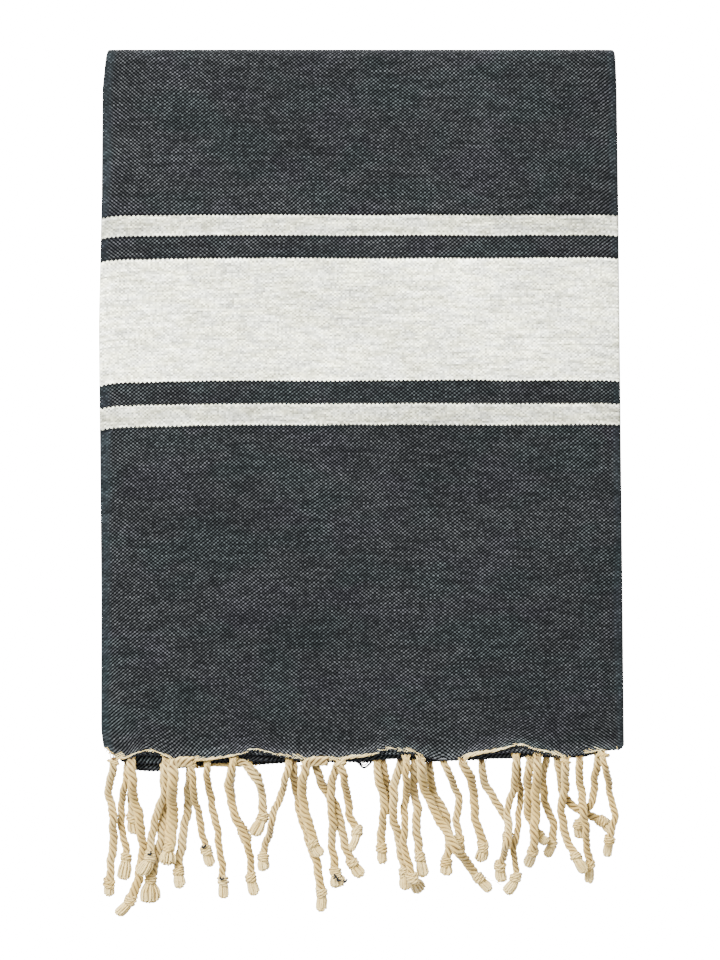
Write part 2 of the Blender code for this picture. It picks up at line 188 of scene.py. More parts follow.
FOLDS = (
    Fold(FAR_FOLD, 5.5, 5.5, 90, -180, -1, 1.6 * MM, 0.8 * MM, 14),
    Fold(NEAR_FOLD, 2.5, 2.5, -90, -180, -1, 0.6 * MM, 2.2 * MM, 10),
    Fold(FAR_FOLD, 5.5, 0.5, -90, 180, 1, 2.4 * MM, 1.4 * MM, 6),
)


class Swell(NamedTuple):
    """A soft rise or hollow that runs through all the layers."""

    x: float
    y: float
    reach: float
    share: float        # of the stack's height


SWELLS = [Swell(x * MM, y * MM, reach * MM, share) for x, y, reach, share in (
    (-90.0, 190.0, 85.0, 0.050),
    (70.0, 150.0, 70.0, -0.030),
    (110.0, 20.0, 80.0, 0.045),
    (-60.0, -10.0, 90.0, -0.035),
    (-110.0, -110.0, 60.0, 0.040),
    (30.0, -120.0, 70.0, 0.035),
    (140.0, -150.0, 50.0, -0.030),
)]


class Strand(NamedTuple):
    """One twisted and knotted strand, by where it passes, as seen from above.

    The x of its root, of a quarter, a half and three quarters of the way to its knot, of
    the knot and of the tip; the knot and the tip also by how far below the hem they lie.
    """

    panel: str
    root: float
    quarter: float
    half: float
    late: float
    knot: float
    knot_drop: float
    tip: float
    tip_drop: float
    stout: float = 1.0  # thickness of its twisted part, and
    flare: float = 1.0  # width of its brush, beside the usual one


FRONT_STRANDS = {
    "right flap": (
        (-100, -99, -95, -92, -90, 82, -90, 94, 0.85, 0.9),
        (-47, -50, -56, -60, -64, 67, -62, 75.5, 0.9),
        (53, 59, 63, 62, 63, 55, 64, 65, 0.88, 1.15),
        (100, 99, 95, 95, 90, 72, 91, 83, 0.82),
        (153, 152, 151, 148, 141, 45, 143, 54, 0.88),
    ),
    "left flap": (
        (-149, -147.5, -143, -143, -150, 94, -158, 105, 1.12, 0.85),
        (-127, -126.5, -131.3, -136, -137, 66, -142, 78, 1.0, 1.1),
        (-83, -86, -81, -73, -72, 80, -69, 91, 0.95),
        (29, 29, 28, 28, 33, 79, 37, 89, 0.9, 1.2),
        (114, 113, 113, 112, 111, 62, 107, 72, 1.1),
        (141, 142, 144, 146, 148, 72, 148, 84, 0.9, 0.85),
    ),
    "middle": (
        (-160, -164, -161, -162, -164, 83, -165, 92.5, 0.95, 0.9),
        (-122, -122, -123, -123, -125, 60, -126, 71, 1.4, 1.75),
        (-110, -109, -107, -104, -101, 62, -98, 73, 0.9),
        (-36, -38, -38, -34, -31, 58, -26, 66, 1.15),
        (-14, -11, -9, -8, -3, 50, -8, 61, 0.88, 0.8),
        (38, 41, 50, 62, 76, 80, 84, 88, 1.05),
        (65, 72, 73, 75, 79, 59, 78, 70),
        (132, 132, 130, 132, 139, 66, 145, 76),
        (156, 159, 162, 164, 161, 55, 160, 67, 0.82, 0.85),
    ),
}
BACK_STRANDS = {
    "middle": (
        (-149, -149, -149, -149, -149, 41, -148, 52, 1.0, 1.1),
        (-84, -85, -85, -82, -77, 50, -73, 58),
        (14, 15, 16, 16, 16, 29, 17, 39),
        (25, 21, 21, 25, 28, 77, 29, 88, 1.0, 1.3),
        (44, 46, 54, 57, 55, 70, 55, 79),
        (78, 80, 86, 94, 95, 53, 95, 62),
        (120, 118, 119, 124, 124, 57, 119, 66),
    ),
    "left flap": (
        (-152, -153.5, -156.5, -155, -153, 67, -156, 81, 0.9, 1.3),
        (-111, -112, -114, -117, -119, 76, -117, 87),
        (-73, -67, -65, -64.5, -65, 42, -68, 51, 0.9),
        (-30, -24, -15, -12, -6, 70, 0, 80),
        (10, 12, 15, 13, 13, 61, 14, 71),
        (101, 103, 102, 99, 100, 80, 93, 90, 0.8),
        (127, 129, 131, 137, 156, 43, 163, 49),
    ),
    "right flap": (
        (-128, -127.5, -129, -132, -137, 81, -136, 96, 1.1, 2.1),
        (-75, -68, -65, -64, -64, 40, -69, 52, 0.95, 1.15),
        (-44, -42, -37, -30, -26, 89, -26, 102, 1.0, 0.9),
        (-16, -20, -19, -19, -17, 76, -14.5, 86.5, 1.0, 1.75),
        (34, 34, 36, 36, 38, 67, 41, 79),
        (109, 108, 108, 109, 115, 52, 121, 57),
    ),
}
FRONT, BACK = 1, -1
STRANDS = {which: [Strand(panel, *row) for panel, rows in table.items() for row in rows]
           for which, table in ((FRONT, FRONT_STRANDS), (BACK, BACK_STRANDS))}
SIDES = {FRONT: "front", BACK: "back"}

# ---------------------------------------------------------------- sizes of the looks alone
FLAP_STEP = 12.0 * MM       # between the columns of a side flap's grid
PANEL_STEP = 5.0 * MM       # between the columns of the middle panel's grid
FOLD_STEPS = (1.3 * MM, 2.7 * MM)       # more columns of it, from each side fold
ROW_STEP = 5.5 * MM         # between the rows of the top layer's grid
HIDDEN_ROW_STEP = 15.0 * MM     # and of the layers below
HEM_ROWS = (0.0, 1.0, 2.0, 3.2, 4.6, 6.4, 8.6, 11.5, 15.0, 19.5)   # mm from a raw edge
HEM_REACH = 16.0 * MM       # how soon the weft lines straighten above a wavering edge
ROOT_PULL = 0.30            # how far the warp at a raw edge leans toward a root
ROOT_PULL_MOST = 2.4 * MM
ROOT_PULL_REACH = 3.5 * MM
DRAWN = 0.55                # how much the weave slants where a root draws at it,
DRAWN_HALF = 6.0 * MM       # fully so this far to either side,
DRAWN_REACH = 4.0 * MM      # and how soon that ends above the edge
DRAWN_CORNER = 0.55         # the same for the near corners of the top panel
DRAWN_CORNER_REACH = 34.0 * MM
SIDE_SLANTS = (             # how the weave slants beside the left and right folds, at y in mm
    (281.0, -0.50, 0.45), (150.0, -0.35, 0.35), (40.0, 0.0, 0.10), (-60.0, 0.10, 0.0),
    (-125.0, 0.45, 0.10), (-177.0, 0.30, 0.0),
)
SIDE_SLANT_REACH = 20.0 * MM
SHOULDER = 0.07             # share of the stack's height lost at its side folds
SHOULDER_REACH = 7.0 * MM
CORNER = 3.2 * MM           # how far the near left corner is drawn in,
CORNER_REACH = 22.0 * MM    # over how much of the fold


class Sag(NamedTuple):
    """How the weft lines sag toward a side fold."""

    depth: float
    reach: float


SAG_LEFT = Sag(1.9 * MM, 6.0 * MM)
SAG_LEFT_WIDE = Sag(2.2 * MM, 45.0 * MM)
SAG_WIDE_FROM = FAR_FOLD - 60 * MM  # y below which that wide sag begins,
SAG_WIDE_EASE = 120 * MM            # and the length in which it grows
SAG_RIGHT = Sag(0.8 * MM, 4.0 * MM)

THIN, WIDE_BAND = 1.0, 0.0
BANDS = (                   # light bands of the border, as weft rows from the raw edge
    (187.9, 199.7, THIN),
    (213.0, 282.4, WIDE_BAND),
    (295.5, 306.7, THIN),
)


class Crease(NamedTuple):
    """A soft trough or ridge between two points, as a share of the stack's height."""

    x: float
    y: float
    to_x: float
    to_y: float
    reach: float
    share: float


CREASES = [Crease(*(size * MM for size in sizes), share) for *sizes, share in (
    (-139.0, -182.0, -133.0, -140.0, 5.0, -0.045),
    (-62.0, -184.0, -60.0, -150.0, 7.0, -0.025),
    (104.0, -186.0, 98.0, -150.0, 7.0, -0.030),
    (-168.0, 108.0, -60.0, 101.0, 6.0, 0.012),
    (60.0, 66.0, 168.0, 62.0, 6.0, 0.010),
    (-165.0, 238.0, -110.0, 268.0, 10.0, -0.016),
    (120.0, 262.0, 165.0, 220.0, 10.0, -0.014),
)]


# ---------------------------------------------------------------- settings a user may change
def length_setting(name, description, default, **limits):
    return FloatProperty(name=name, description=description, subtype="DISTANCE",
                         unit="LENGTH", default=default, **limits)


def colour_setting(name, description, default):
    return FloatVectorProperty(name=name, description=description, subtype="COLOR",
                               size=3, min=0.0, max=1.0, default=default)


class StageSettings(bpy.types.PropertyGroup):
    """The floor, the light and the camera."""

    floor_colour: colour_setting("Floor", "Colour of the floor", (0.90, 0.90, 0.90))
    floor_glow: FloatProperty(
        name="Floor glow", description="Light that the white floor gives by itself",
        min=0.0, default=16.0)
    sky: FloatProperty(
        name="Sky", description="Strength of the even light from all around",
        min=0.0, default=1.6)
    key: FloatProperty(
        name="Key light", description="Power of the wide lamp above the far left corner",
        subtype="POWER", unit="POWER", min=0.0, default=460.0)
    distance: length_setting(
        "Camera distance", "From the camera to the top layer", 3.0, min=0.5)
    view_height: length_setting(
        "View height", "How much of the top layer's plane the picture is high", 0.621, min=0.1)


class ClothSettings(bpy.types.PropertyGroup):
    """The woven cloth."""

    thickness: length_setting(
        "Thickness", "Thickness of the woven cloth", 0.0009, min=0.0003, max=0.0012)
    warp_pitch: length_setting(
        "Warp pitch", "Between two neighbouring warp yarns", 0.00139, min=0.0002)
    weft_pitch: length_setting(
        "Weft pitch", "Between two neighbouring weft yarns", 0.00114, min=0.0002)
    warp_colour: colour_setting(
        "Warp", "Colour of the undyed warp where it crosses dark weft", (0.0300, 0.0318, 0.0332))
    weft_colour: colour_setting(
        "Dark weft", "Colour of the dyed weft", (0.0010, 0.0012, 0.0015))
    band_colour: colour_setting(
        "Light weft", "Colour of the undyed weft of the bands", (0.60, 0.61, 0.49))


class FringeSettings(bpy.types.PropertyGroup):
    """The twisted and knotted strands."""

    plies: IntProperty(
        name="Plies", description="Plies that one strand is twisted from",
        min=2, max=6, default=4)
    ply_radius: length_setting(
        "Ply radius", "Radius of one ply of a full strand", 0.00125, min=0.0003)
    lay: length_setting(
        "Lay", "Length in which a ply turns once around its strand", 0.0158, min=0.003)
    yarn_radius: length_setting(
        "Yarn radius", "Radius of one warp yarn", 0.00034, min=0.0001)
    colour: colour_setting(
        "Cotton", "Colour of the undyed cotton of the strands", (0.50, 0.345, 0.100))
    pale: colour_setting(
        "Pale cotton", "Colour of the yarns' loose ends", (0.62, 0.47, 0.19))
    cream: colour_setting(
        "Cream", "Colour of the untwisted warp along the hem", (0.74, 0.70, 0.42))
    # Painted shade: the brown that the plies turn to deep between them, standing in for the shade
    # there
    painted_crevice_shade: colour_setting(
        "Crevices", "Colour deep between the plies", (0.085, 0.045, 0.012))
    dyed: colour_setting(
        "Dyed yarn", "Colour of the last weft and of its ends in the knots",
        (0.0030, 0.0040, 0.0070))


# ---------------------------------------------------------------- node graphs
class Value:
    """What comes out of a node. Sums and products of such numbers add Math nodes."""

    def __init__(self, graph, socket):
        self.graph = graph
        self.socket = socket

    def __add__(self, other):
        return self.graph.math("ADD", self, other)

    def __radd__(self, other):
        return self.graph.math("ADD", other, self)

    def __sub__(self, other):
        return self.graph.math("SUBTRACT", self, other)

    def __rsub__(self, other):
        return self.graph.math("SUBTRACT", other, self)

    def __mul__(self, other):
        return self.graph.math("MULTIPLY", self, other)

    def __rmul__(self, other):
        return self.graph.math("MULTIPLY", other, self)

    def __truediv__(self, other):
        return self.graph.math("DIVIDE", self, other)

    def __abs__(self):
        return self.graph.math("ABSOLUTE", self)


class Graph:
    """Adds nodes to a tree and joins them, for materials and for geometry."""

    def __init__(self, tree):
        self.tree = tree

    def add(self, kind, inputs=None, **choices):
        """A node with its choices set and its inputs joined or filled, by name or number."""
        node = self.tree.nodes.new(kind)
        for name, choice in choices.items():
            setattr(node, name, choice)
        for name, value in (inputs or {}).items():
            self.feed(node.inputs[name], value)
        return node

    def out(self, kind, inputs=None, output=0, **choices):
        """What comes out of a new node."""
        return Value(self, self.add(kind, inputs, **choices).outputs[output])

    def feed(self, socket, value):
        """Join an output to a socket, or set the socket's own value."""
        if isinstance(value, Value):
            value = value.socket
        if isinstance(value, bpy.types.NodeSocket):
            self.tree.links.new(value, socket)
        elif value is not None:
            socket.default_value = value

    def math(self, operation, *values):
        return self.out("ShaderNodeMath", dict(enumerate(values)), operation=operation)

    def vector(self, operation, *values, scale=None):
        inputs = dict(enumerate(values))
        if scale is not None:
            inputs["Scale"] = scale
        return self.out("ShaderNodeVectorMath", inputs, operation=operation,
                        output="Value" if operation == "LENGTH" else "Vector")

    def combine(self, x=0.0, y=0.0, z=0.0):
        return self.out("ShaderNodeCombineXYZ", {"X": x, "Y": y, "Z": z})

    def separate(self, vector):
        return [Value(self, part)
                for part in self.add("ShaderNodeSeparateXYZ", {"Vector": vector}).outputs]

    def noise(self, vector, scale=1.0, detail=2.0, roughness=0.5, output="Fac"):
        return self.out("ShaderNodeTexNoise", {
            "Vector": vector, "Scale": scale, "Detail": detail, "Roughness": roughness}, output)

    def between(self, value, low, high, to_low=0.0, to_high=1.0):
        """The value's place from low to high, eased, as one from to_low to to_high."""
        return self.out("ShaderNodeMapRange", {
            "Value": value, "From Min": low, "From Max": high,
            "To Min": to_low, "To Max": to_high}, "Result", interpolation_type="SMOOTHSTEP")

    def mix(self, share, first, second, blend="MIX"):
        return self.out("ShaderNodeMix", {"Factor": share, 6: first, 7: second}, 2,
                        data_type="RGBA", blend_type=blend)

    def shaded(self, colour, shade):
        """A colour times a shade or another colour."""
        return self.mix(1.0, colour, shade, blend="MULTIPLY")

    def attribute(self, name, output="Fac"):
        return self.out("ShaderNodeAttribute", output=output, attribute_name=name)

    def bump(self, shader, strength, distance, height):
        """Raise a shader's surface by a height, seen in its light alone."""
        self.feed(shader.inputs["Normal"], self.out("ShaderNodeBump", {
            "Strength": strength, "Distance": distance, "Height": height}, "Normal"))


def rgba(colour):
    return (*colour[:3], 1.0)


def new_material(name, roughness, sheen):
    """A material, its graph and its shader, with what is the same all over already set."""
    made = bpy.data.materials.new(name)
    made.use_nodes = True
    shader = made.node_tree.nodes["Principled BSDF"]
    shader.inputs["Roughness"].default_value = roughness
    shader.inputs["Metallic"].default_value = 0.0
    shader.inputs["Specular IOR Level"].default_value = 0.2
    shader.inputs["Sheen Weight"].default_value = sheen
    shader.inputs["Sheen Roughness"].default_value = 0.5
    return made, Graph(made.node_tree), shader


# ---------------------------------------------------------------- the folded cloth's shape
class Across(NamedTuple):
    """A place across the spread-out width, in the folded section."""

    panel: str
    x: float            # -1 at the left fold, 1 at the right fold, on a flat panel
    out: float          # metres that a side fold stands out from there
    level: float        # layers from the middle panel toward the flaps


def side_fold(x, radius, start, turn, steps):
    """The stations of a side fold, from one flat panel to the other."""
    for step in range(steps + 1):
        angle = math.radians(start + turn * step / steps)
        yield Across("fold", x, math.cos(angle) * radius * PITCH, radius + math.sin(angle) * radius)


def section():
    """The folded width, from the left flap's selvedge to the right flap's."""
    half = (OUTLINE[-1].right - OUTLINE[-1].left) / 2
    free = 1 - FLAP / half
    flap_columns = round(FLAP / FLAP_STEP)
    panel_columns = round(2 * half / PANEL_STEP)
    left = [Across("left flap", -free + (free - 1) * k / flap_columns, 0.0, 2 * LEFT_TURN)
            for k in range(flap_columns)]
    right = [Across("right flap", 1 + (free - 1) * (k + 1) / flap_columns, 0.0, 2 * RIGHT_TURN)
             for k in range(flap_columns)]
    near = [step / half for step in FOLD_STEPS]
    places = [-1 + 2 * k / panel_columns for k in range(1, panel_columns)]
    places += [-1 + step for step in near] + [1 - step for step in near]
    middle = [Across("middle", x, 0.0, 0.0) for x in sorted(places)]
    return (left + list(side_fold(-1.0, LEFT_TURN, 90, 180, 6)) + middle
            + list(side_fold(1.0, RIGHT_TURN, -90, 180, 8)) + right)


class Along(NamedTuple):
    """A place down the length: where the middle panel is, and which way its flaps lie."""

    y: float
    level: float
    flap_y: float
    flap_level: float
    slip_left: float
    slip_right: float
    side: int           # FRONT on the quarter with the front raw edge, BACK, or 0 between
    reach: float        # metres from that raw edge


def pressed(away):
    """One direction of a round fold, pressed toward a square one."""
    return math.copysign(abs(away) ** SQUARENESS, away)


def quarter_rows(length, step, hemmed):
    """Rows down a flat quarter, from its hem or fold, closer together near a hem."""
    near = [row * MM for row in HEM_ROWS] if hemmed else [0.0]
    start = near[-1]
    more = round((length - start) / step)
    return near + [start + (length - start) * (k + 1) / more for k in range(more - 1)]


def lengthwise():
    """The length from the front raw edge, over the three folds, to the back raw edge."""
    stations = []
    y, level, flap_level = HEM, TOP_LEVEL, -1.0
    slips = (0.0, 0.0)
    for fold in FOLDS:
        first = not stations
        length = abs(fold.axis - y)
        way = math.copysign(1.0, fold.axis - y)
        rows = quarter_rows(length, ROW_STEP if first else HIDDEN_ROW_STEP, first)
        for row in rows if first else rows[1:]:
            stations.append(Along(y + way * row, level, 0.0, flap_level, *slips,
                                  FRONT if first else 0, row if first else 0.0))
        for step in range(fold.steps + 1):
            share = step / fold.steps
            angle = math.radians(fold.start + fold.turn * share)
            away = pressed(math.cos(angle)), pressed(math.sin(angle))
            stations.append(Along(
                fold.axis + away[0] * fold.radius * PITCH, fold.level + away[1] * fold.radius,
                away[0] * fold.flaps, away[1] * fold.flaps,
                slips[0] + (fold.slip_left - slips[0]) * share,
                slips[1] + (fold.slip_right - slips[1]) * share, 0, 0.0))
        y, level = fold.axis, round(stations[-1].level)
        flap_level = stations[-1].flap_level
        slips = (fold.slip_left, fold.slip_right)
    length = y - HEM
    for row in reversed(quarter_rows(length, HIDDEN_ROW_STEP, True)):
        stations.append(Along(HEM + row, level, 0.0, flap_level, *slips, BACK, row))
    return stations


def side_folds(y):
    """The x of the left and right side folds of the top layer, at y."""
    ys = [edge.y for edge in reversed(OUTLINE)]
    return (np.interp(y, ys, [edge.left for edge in reversed(OUTLINE)]),
            np.interp(y, ys, [edge.right for edge in reversed(OUTLINE)]))


def smooth(value):
    """0 to 1 with a soft start and end."""
    value = min(max(value, 0.0), 1.0)
    return value * value * (3 - 2 * value)


def hem_drop(x, which, across):
    """How far a raw edge hangs below the hem line at x; a flap's edge wavers less."""
    drops = [hem.front if which == FRONT else hem.back for hem in HEMS]
    drop = float(np.interp(x, [hem.x for hem in HEMS], drops))
    end = smooth((abs(x) - ENDS) / ENDS_REACH)
    flap = drop * (FLAP_SHARE + (1 - FLAP_SHARE) * end)
    if which == BACK:
        flap += FLAP_LOWER * (1 - end)
    if across.panel != "fold":
        return drop if across.panel == "middle" else flap
    turned = across.level / (2 * (LEFT_TURN if across.x < 0 else RIGHT_TURN))
    return drop + (flap - drop) * turned


def solid_rise(x, y):
    """The share of the stack's height that the solids' swells add at a place."""
    return sum(swell.share * math.exp(-((x - swell.x) ** 2 + (y - swell.y) ** 2)
                                      / swell.reach ** 2) for swell in SWELLS)


def crease_rise(x, y):
    """What the soft creases and the tighter side folds add to that."""
    rise = 0.0
    for crease in CREASES:
        run = Vector((crease.to_x - crease.x, crease.to_y - crease.y))
        away = Vector((x - crease.x, y - crease.y))
        share = min(max(away.dot(run) / run.length_squared, 0.0), 1.0)
        distance = (away - run * share).length
        if distance < 3 * crease.reach:
            rise += crease.share * math.exp(-(distance / crease.reach) ** 2)
    left, right = side_folds(y)
    for distance in (x - left, right - x):
        rise -= SHOULDER * math.exp(-(max(distance, 0.0) / SHOULDER_REACH) ** 2)
    return rise


def settled(x, y, z, rise):
    """A point of the stack with its swells in it; what touches the surface stays."""
    return Vector((x, y, z + (z - SHEET / 2) * rise))


def on_solid(along, across):
    """A point of the solid cloth's middle surface, without the looks' own creases."""
    level = along.level + across.level * along.flap_level
    y = along.y + across.level * PITCH * along.flap_y
    left, right = side_folds(y)
    left += along.slip_left + (SHEET + PITCH) / 2
    right -= along.slip_right + SHEET / 2 + PITCH
    x = (left + right) / 2 + across.x * (right - left) / 2 + across.out
    if along.side:
        y -= hem_drop(x, along.side, across) * math.exp(-along.reach / HEM_REACH)
    elif along.level < NEAR_LEVELS:
        out = float(np.interp(x / MM, *zip(*NEAR_STANDS))) * MM
        y -= out * math.exp(-max(y - NEAR_FOLD, 0.0) / HEM_REACH)
    return settled(x, y, level * PITCH + SHEET / 2, solid_rise(x, y))


def on_cloth(along, across):
    """The same point with the creases in it, and the near left corner drawn in."""
    x, y, z = on_solid(along, across)
    rise = crease_rise(x, y)
    if along.level > TOP_LEVEL - 1:
        left, right = side_folds(y)
        down = min(max(1 - (y - HEM) / CORNER_REACH, 0.0), 1.2)
        x += CORNER * down ** 2 * min(max((right - x) / (right - left), 0.0), 1.0) ** 4
    return settled(x, y, z, rise)


# ---------------------------------------------------------------- strands, as they lie
def route(strand, start):
    """A strand's way as seen from above: runs from its root, x and y there, the knot's run."""
    knot = HEM - strand.knot_drop * MM
    tip = HEM - strand.tip_drop * MM
    xs = [x * MM for x in (strand.root, strand.quarter, strand.half, strand.late, strand.knot,
                           strand.tip)]
    ys = [start + (knot - start) * share for share in (0, 0.25, 0.5, 0.75, 1.0)] + [tip]
    points = [Vector(place) for place in zip(xs, ys)]
    before = Vector((points[0].x, 2 * points[0].y - points[1].y))
    ends = [before, *points, 2 * points[-1] - points[-2]]
    dense = []
    for a, b, c, d in zip(ends, ends[1:], ends[2:], ends[3:]):
        for t in np.arange(CURVE_STEPS) / CURVE_STEPS:
            dense.append(0.5 * (2 * b + (c - a) * t + (2 * a - 5 * b + 4 * c - d) * t ** 2
                                + (3 * b - a - 3 * c + d) * t ** 3))
    dense.append(points[-1])
    lengths = [(after - place).length for place, after in zip(dense, dense[1:])]
    run = np.concatenate([[0.0], np.cumsum(lengths)])
    return run, np.array([tuple(place) for place in dense]), run[CURVE_STEPS * 4]


def girth(s, knot, length):
    """Width and height of a solid strand at a run s from its root."""
    gather = smooth(s / TAPER)
    wide = ROOT + (WIDE - ROOT) * gather
    high = SHEET + (HIGH - SHEET) * gather
    if s > knot:
        wide += (TAIL_WIDE - WIDE) * smooth((s - knot - KNOT / 2) / (length - knot - KNOT / 2))
    bulge = 1 - smooth((abs(s - knot) / KNOT - KNOT_FULL) / KNOT_EASE)
    return wide + (KNOT_WIDE - wide) * bulge, high + (KNOT_HIGH - high) * bulge


def ring_runs(knot, length):
    """The runs at which a solid strand has a ring of four corners."""
    neck, full = knot - KNOT * NECK, KNOT * KNOT_FULL
    body = max(round((neck - TAPER) / RING), 2)
    return np.array([0.0, *(TAPER * share for share in ROOT_RINGS),
                     *np.linspace(TAPER, neck, body + 1),
                     knot - full, knot + full, knot + KNOT * NECK, length])


class Laid(NamedTuple):
    """A strand as it lies: its middle line from root to tip, and where its knot is."""

    strand: Strand
    run: np.ndarray
    points: np.ndarray
    knot: float


def lay(strand, root, ground):
    """Lay a strand from its root down to the surface, over whatever lies there already.

    Gives the strand as it lies, and the ground with it on, as rows of x, y, half width
    and top.
    """
    run, path, knot = route(strand, root.y)
    rings = ring_runs(knot, run[-1])
    girths = np.array([girth(s, knot, run[-1]) for s in rings])
    base = root.z - SHEET / 2
    under = np.array([base * (1 - smooth(s / (FALL + base * FALL_SLOPE))) for s in rings])
    place = np.column_stack([np.interp(rings, run, path[:, k]) for k in (0, 1)])

    between = np.union1d(np.arange(0.0, rings[-1], STEP), rings)
    x, y, half, high = (np.interp(between, rings, column) for column in (
        *place.T, girths[:, 0] / 2, girths[:, 1]))
    needed = np.zeros(len(between))
    for k in range(len(between)):
        apart = np.hypot(ground[:, 0] - x[k], ground[:, 1] - y[k])
        below = ground[apart < ground[:, 2] + half[k] + CLEAR, 3]
        if len(below):
            needed[k] = below.max() + CLEAR
    under = raised(under, rings, between, needed)
    laid = np.column_stack([x, y, half, np.interp(between, rings, under) + high])
    return middle_line(strand, run, path, knot, rings, under, girths[:, 1]), \
        np.vstack([ground, laid])


def raised(under, rings, between, needed):
    """The underside at each ring, raised until its straight runs clear what is needed."""
    natural = under.copy()
    shares = np.array([np.interp(between, rings, row) for row in np.eye(len(rings))]).T
    shares[:, 0] = 0.0
    root = under[0] * np.maximum(1 - between / rings[1], 0.0)
    for _ in range(RAISES):
        lack = needed - root - shares @ under
        worst = lack.argmax()
        if lack[worst] < CLEAR / 20:
            break
        row = shares[worst]
        if row.any():
            under = under + row * lack[worst] / (row @ row)
        else:
            needed[worst] = 0.0
    lift = under - natural
    for _ in range(2):
        lift[1:-1] = np.maximum(lift[1:-1], EASE * (lift[:-2] + lift[2:]))
    return natural + lift


LINE_STEP = 1.0 * MM        # between the points of a strand's middle line
LINE_EASE = 5               # points that its heights are evened out over


def middle_line(strand, run, path, knot, rings, under, high):
    """A strand's middle line, evened out between the heights of its solid's rings."""
    runs = np.arange(0.0, run[-1] + LINE_STEP / 2, LINE_STEP)
    x, y = (np.interp(runs, run, path[:, k]) for k in (0, 1))
    z = np.interp(runs, rings, under + high / 2)
    padded = np.pad(z, LINE_EASE, mode="reflect", reflect_type="odd")
    window = np.hanning(2 * LINE_EASE + 3)[1:-1]
    z = np.convolve(padded, window / window.sum(), mode="valid")
    return Laid(strand, runs, np.column_stack([x, y, z]), knot)


def hem_stations(which):
    """A raw edge of the solid cloth as stations (panel, x, y, z)."""
    along = lengthwise()[0 if which == FRONT else -1]
    return [(column.panel, *on_solid(along, column)) for column in section()]


def panel_edge(which, panel):
    """One panel's raw edge as rows of x, y and z, from left to right."""
    edge = np.array([place for flat, *place in hem_stations(which) if flat == panel])
    return edge[edge[:, 0].argsort()]


def margin(which, panel):
    """The cloth and strip along one panel's raw edge, as ground for the strands above it."""
    edge = panel_edge(which, panel)
    xs = np.arange(edge[0, 0], edge[-1, 0], MARGIN_STEP)
    ys, zs = (np.interp(xs, edge[:, 0], edge[:, k]) for k in (1, 2))
    rows = np.arange(-STRIP, MARGIN, MARGIN_STEP)
    return np.array([(x, y + row + MARGIN_STEP / 2, MARGIN_STEP / 2, z + SHEET / 2)
                     for x, y, z in zip(xs, ys, zs) for row in rows])


@lru_cache(maxsize=1)
def laid_strands():
    """Every strand of both fringes as it lies, by fringe, laid from the lowest up."""
    ground = np.zeros((0, 4))
    fringes = {}
    for which in (BACK, FRONT):
        laid = []
        for panel in dict.fromkeys(strand.panel for strand in STRANDS[which]):
            edge = panel_edge(which, panel)
            for strand in STRANDS[which]:
                if strand.panel == panel:
                    x = strand.root * MM
                    y, z = (np.interp(x, edge[:, 0], edge[:, k]) for k in (1, 2))
                    line, ground = lay(strand, Vector((x, y - STRIP, z)), ground)
                    laid.append(line)
            ground = np.vstack([ground, margin(which, panel)])
        fringes[which] = laid
    return fringes


# ---------------------------------------------------------------- pieces
COLLECTION = "hammam towel"


def finish_piece(piece):
    """Every piece rides the one body."""
    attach(piece, "root")


def new_piece(name, mesh):
    """An object for a mesh, in the towel's collection."""
    home = bpy.data.collections.get(COLLECTION)
    if home is None:
        home = bpy.data.collections.new(COLLECTION)
        bpy.context.scene.collection.children.link(home)
    piece = bpy.data.objects.new(name, mesh)
    home.objects.link(piece)
    return piece


def apply_modifiers(piece):
    """Turn a piece's modifiers into a plain mesh, and remove them."""
    bpy.context.view_layer.update()
    graph = bpy.context.evaluated_depsgraph_get()
    mesh = bpy.data.meshes.new_from_object(piece.evaluated_get(graph), depsgraph=graph)
    mesh.name = piece.name
    piece.modifiers.clear()
    piece.data = mesh


# ---------------------------------------------------------------- twisted yarn
class Line(NamedTuple):
    """The middle line of a strand, knot or yarn, with what the twisting needs at each point."""

    points: np.ndarray
    side: np.ndarray        # how far the plies stand off it sideways
    up: np.ndarray          # and up and down
    ply: np.ndarray         # radius of a ply
    tone: np.ndarray        # 0 golden, 1 pale, 2 cream


def line_mesh(name, lines):
    """All the middle lines as one mesh of edges, with their sizes as attributes."""
    points = np.vstack([line.points for line in lines])
    edges, start = [], 0
    for line in lines:
        edges += [(k, k + 1) for k in range(start, start + len(line.points) - 1)]
        start += len(line.points)
    mesh = bpy.data.meshes.new(name)
    mesh.from_pydata(points.tolist(), edges, [])
    for field in ("side", "up", "ply", "tone"):
        values = np.concatenate([
            np.broadcast_to(getattr(line, field), len(line.points)) for line in lines])
        mesh.attributes.new(field, "FLOAT", "POINT").data.foreach_set(
            "value", values.astype(np.float32))
    return mesh


def named(graph, name, kind="FLOAT"):
    return graph.out("GeometryNodeInputNamedAttribute", {"Name": name}, data_type=kind)


def store(graph, geometry, name, value, kind="FLOAT"):
    return graph.out("GeometryNodeStoreNamedAttribute", {
        "Geometry": geometry, "Name": name, "Value": value}, data_type=kind, domain="POINT")


def ply_offset(graph, plies, lay):
    """How far a ply stands off its strand's middle line, turning once in each lay."""
    angle = (named(graph, "strand_ply") / plies - named(graph, "along") / lay) * math.tau
    normal = graph.out("GeometryNodeInputNormal")
    binormal = graph.vector("CROSS_PRODUCT", graph.out("GeometryNodeInputTangent"), normal)
    sideways = graph.math("COSINE", angle) * named(graph, "side")
    upward = graph.math("SINE", angle) * named(graph, "up")
    return graph.vector("ADD", graph.vector("SCALE", normal, scale=sideways),
                        graph.vector("SCALE", binormal, scale=upward))


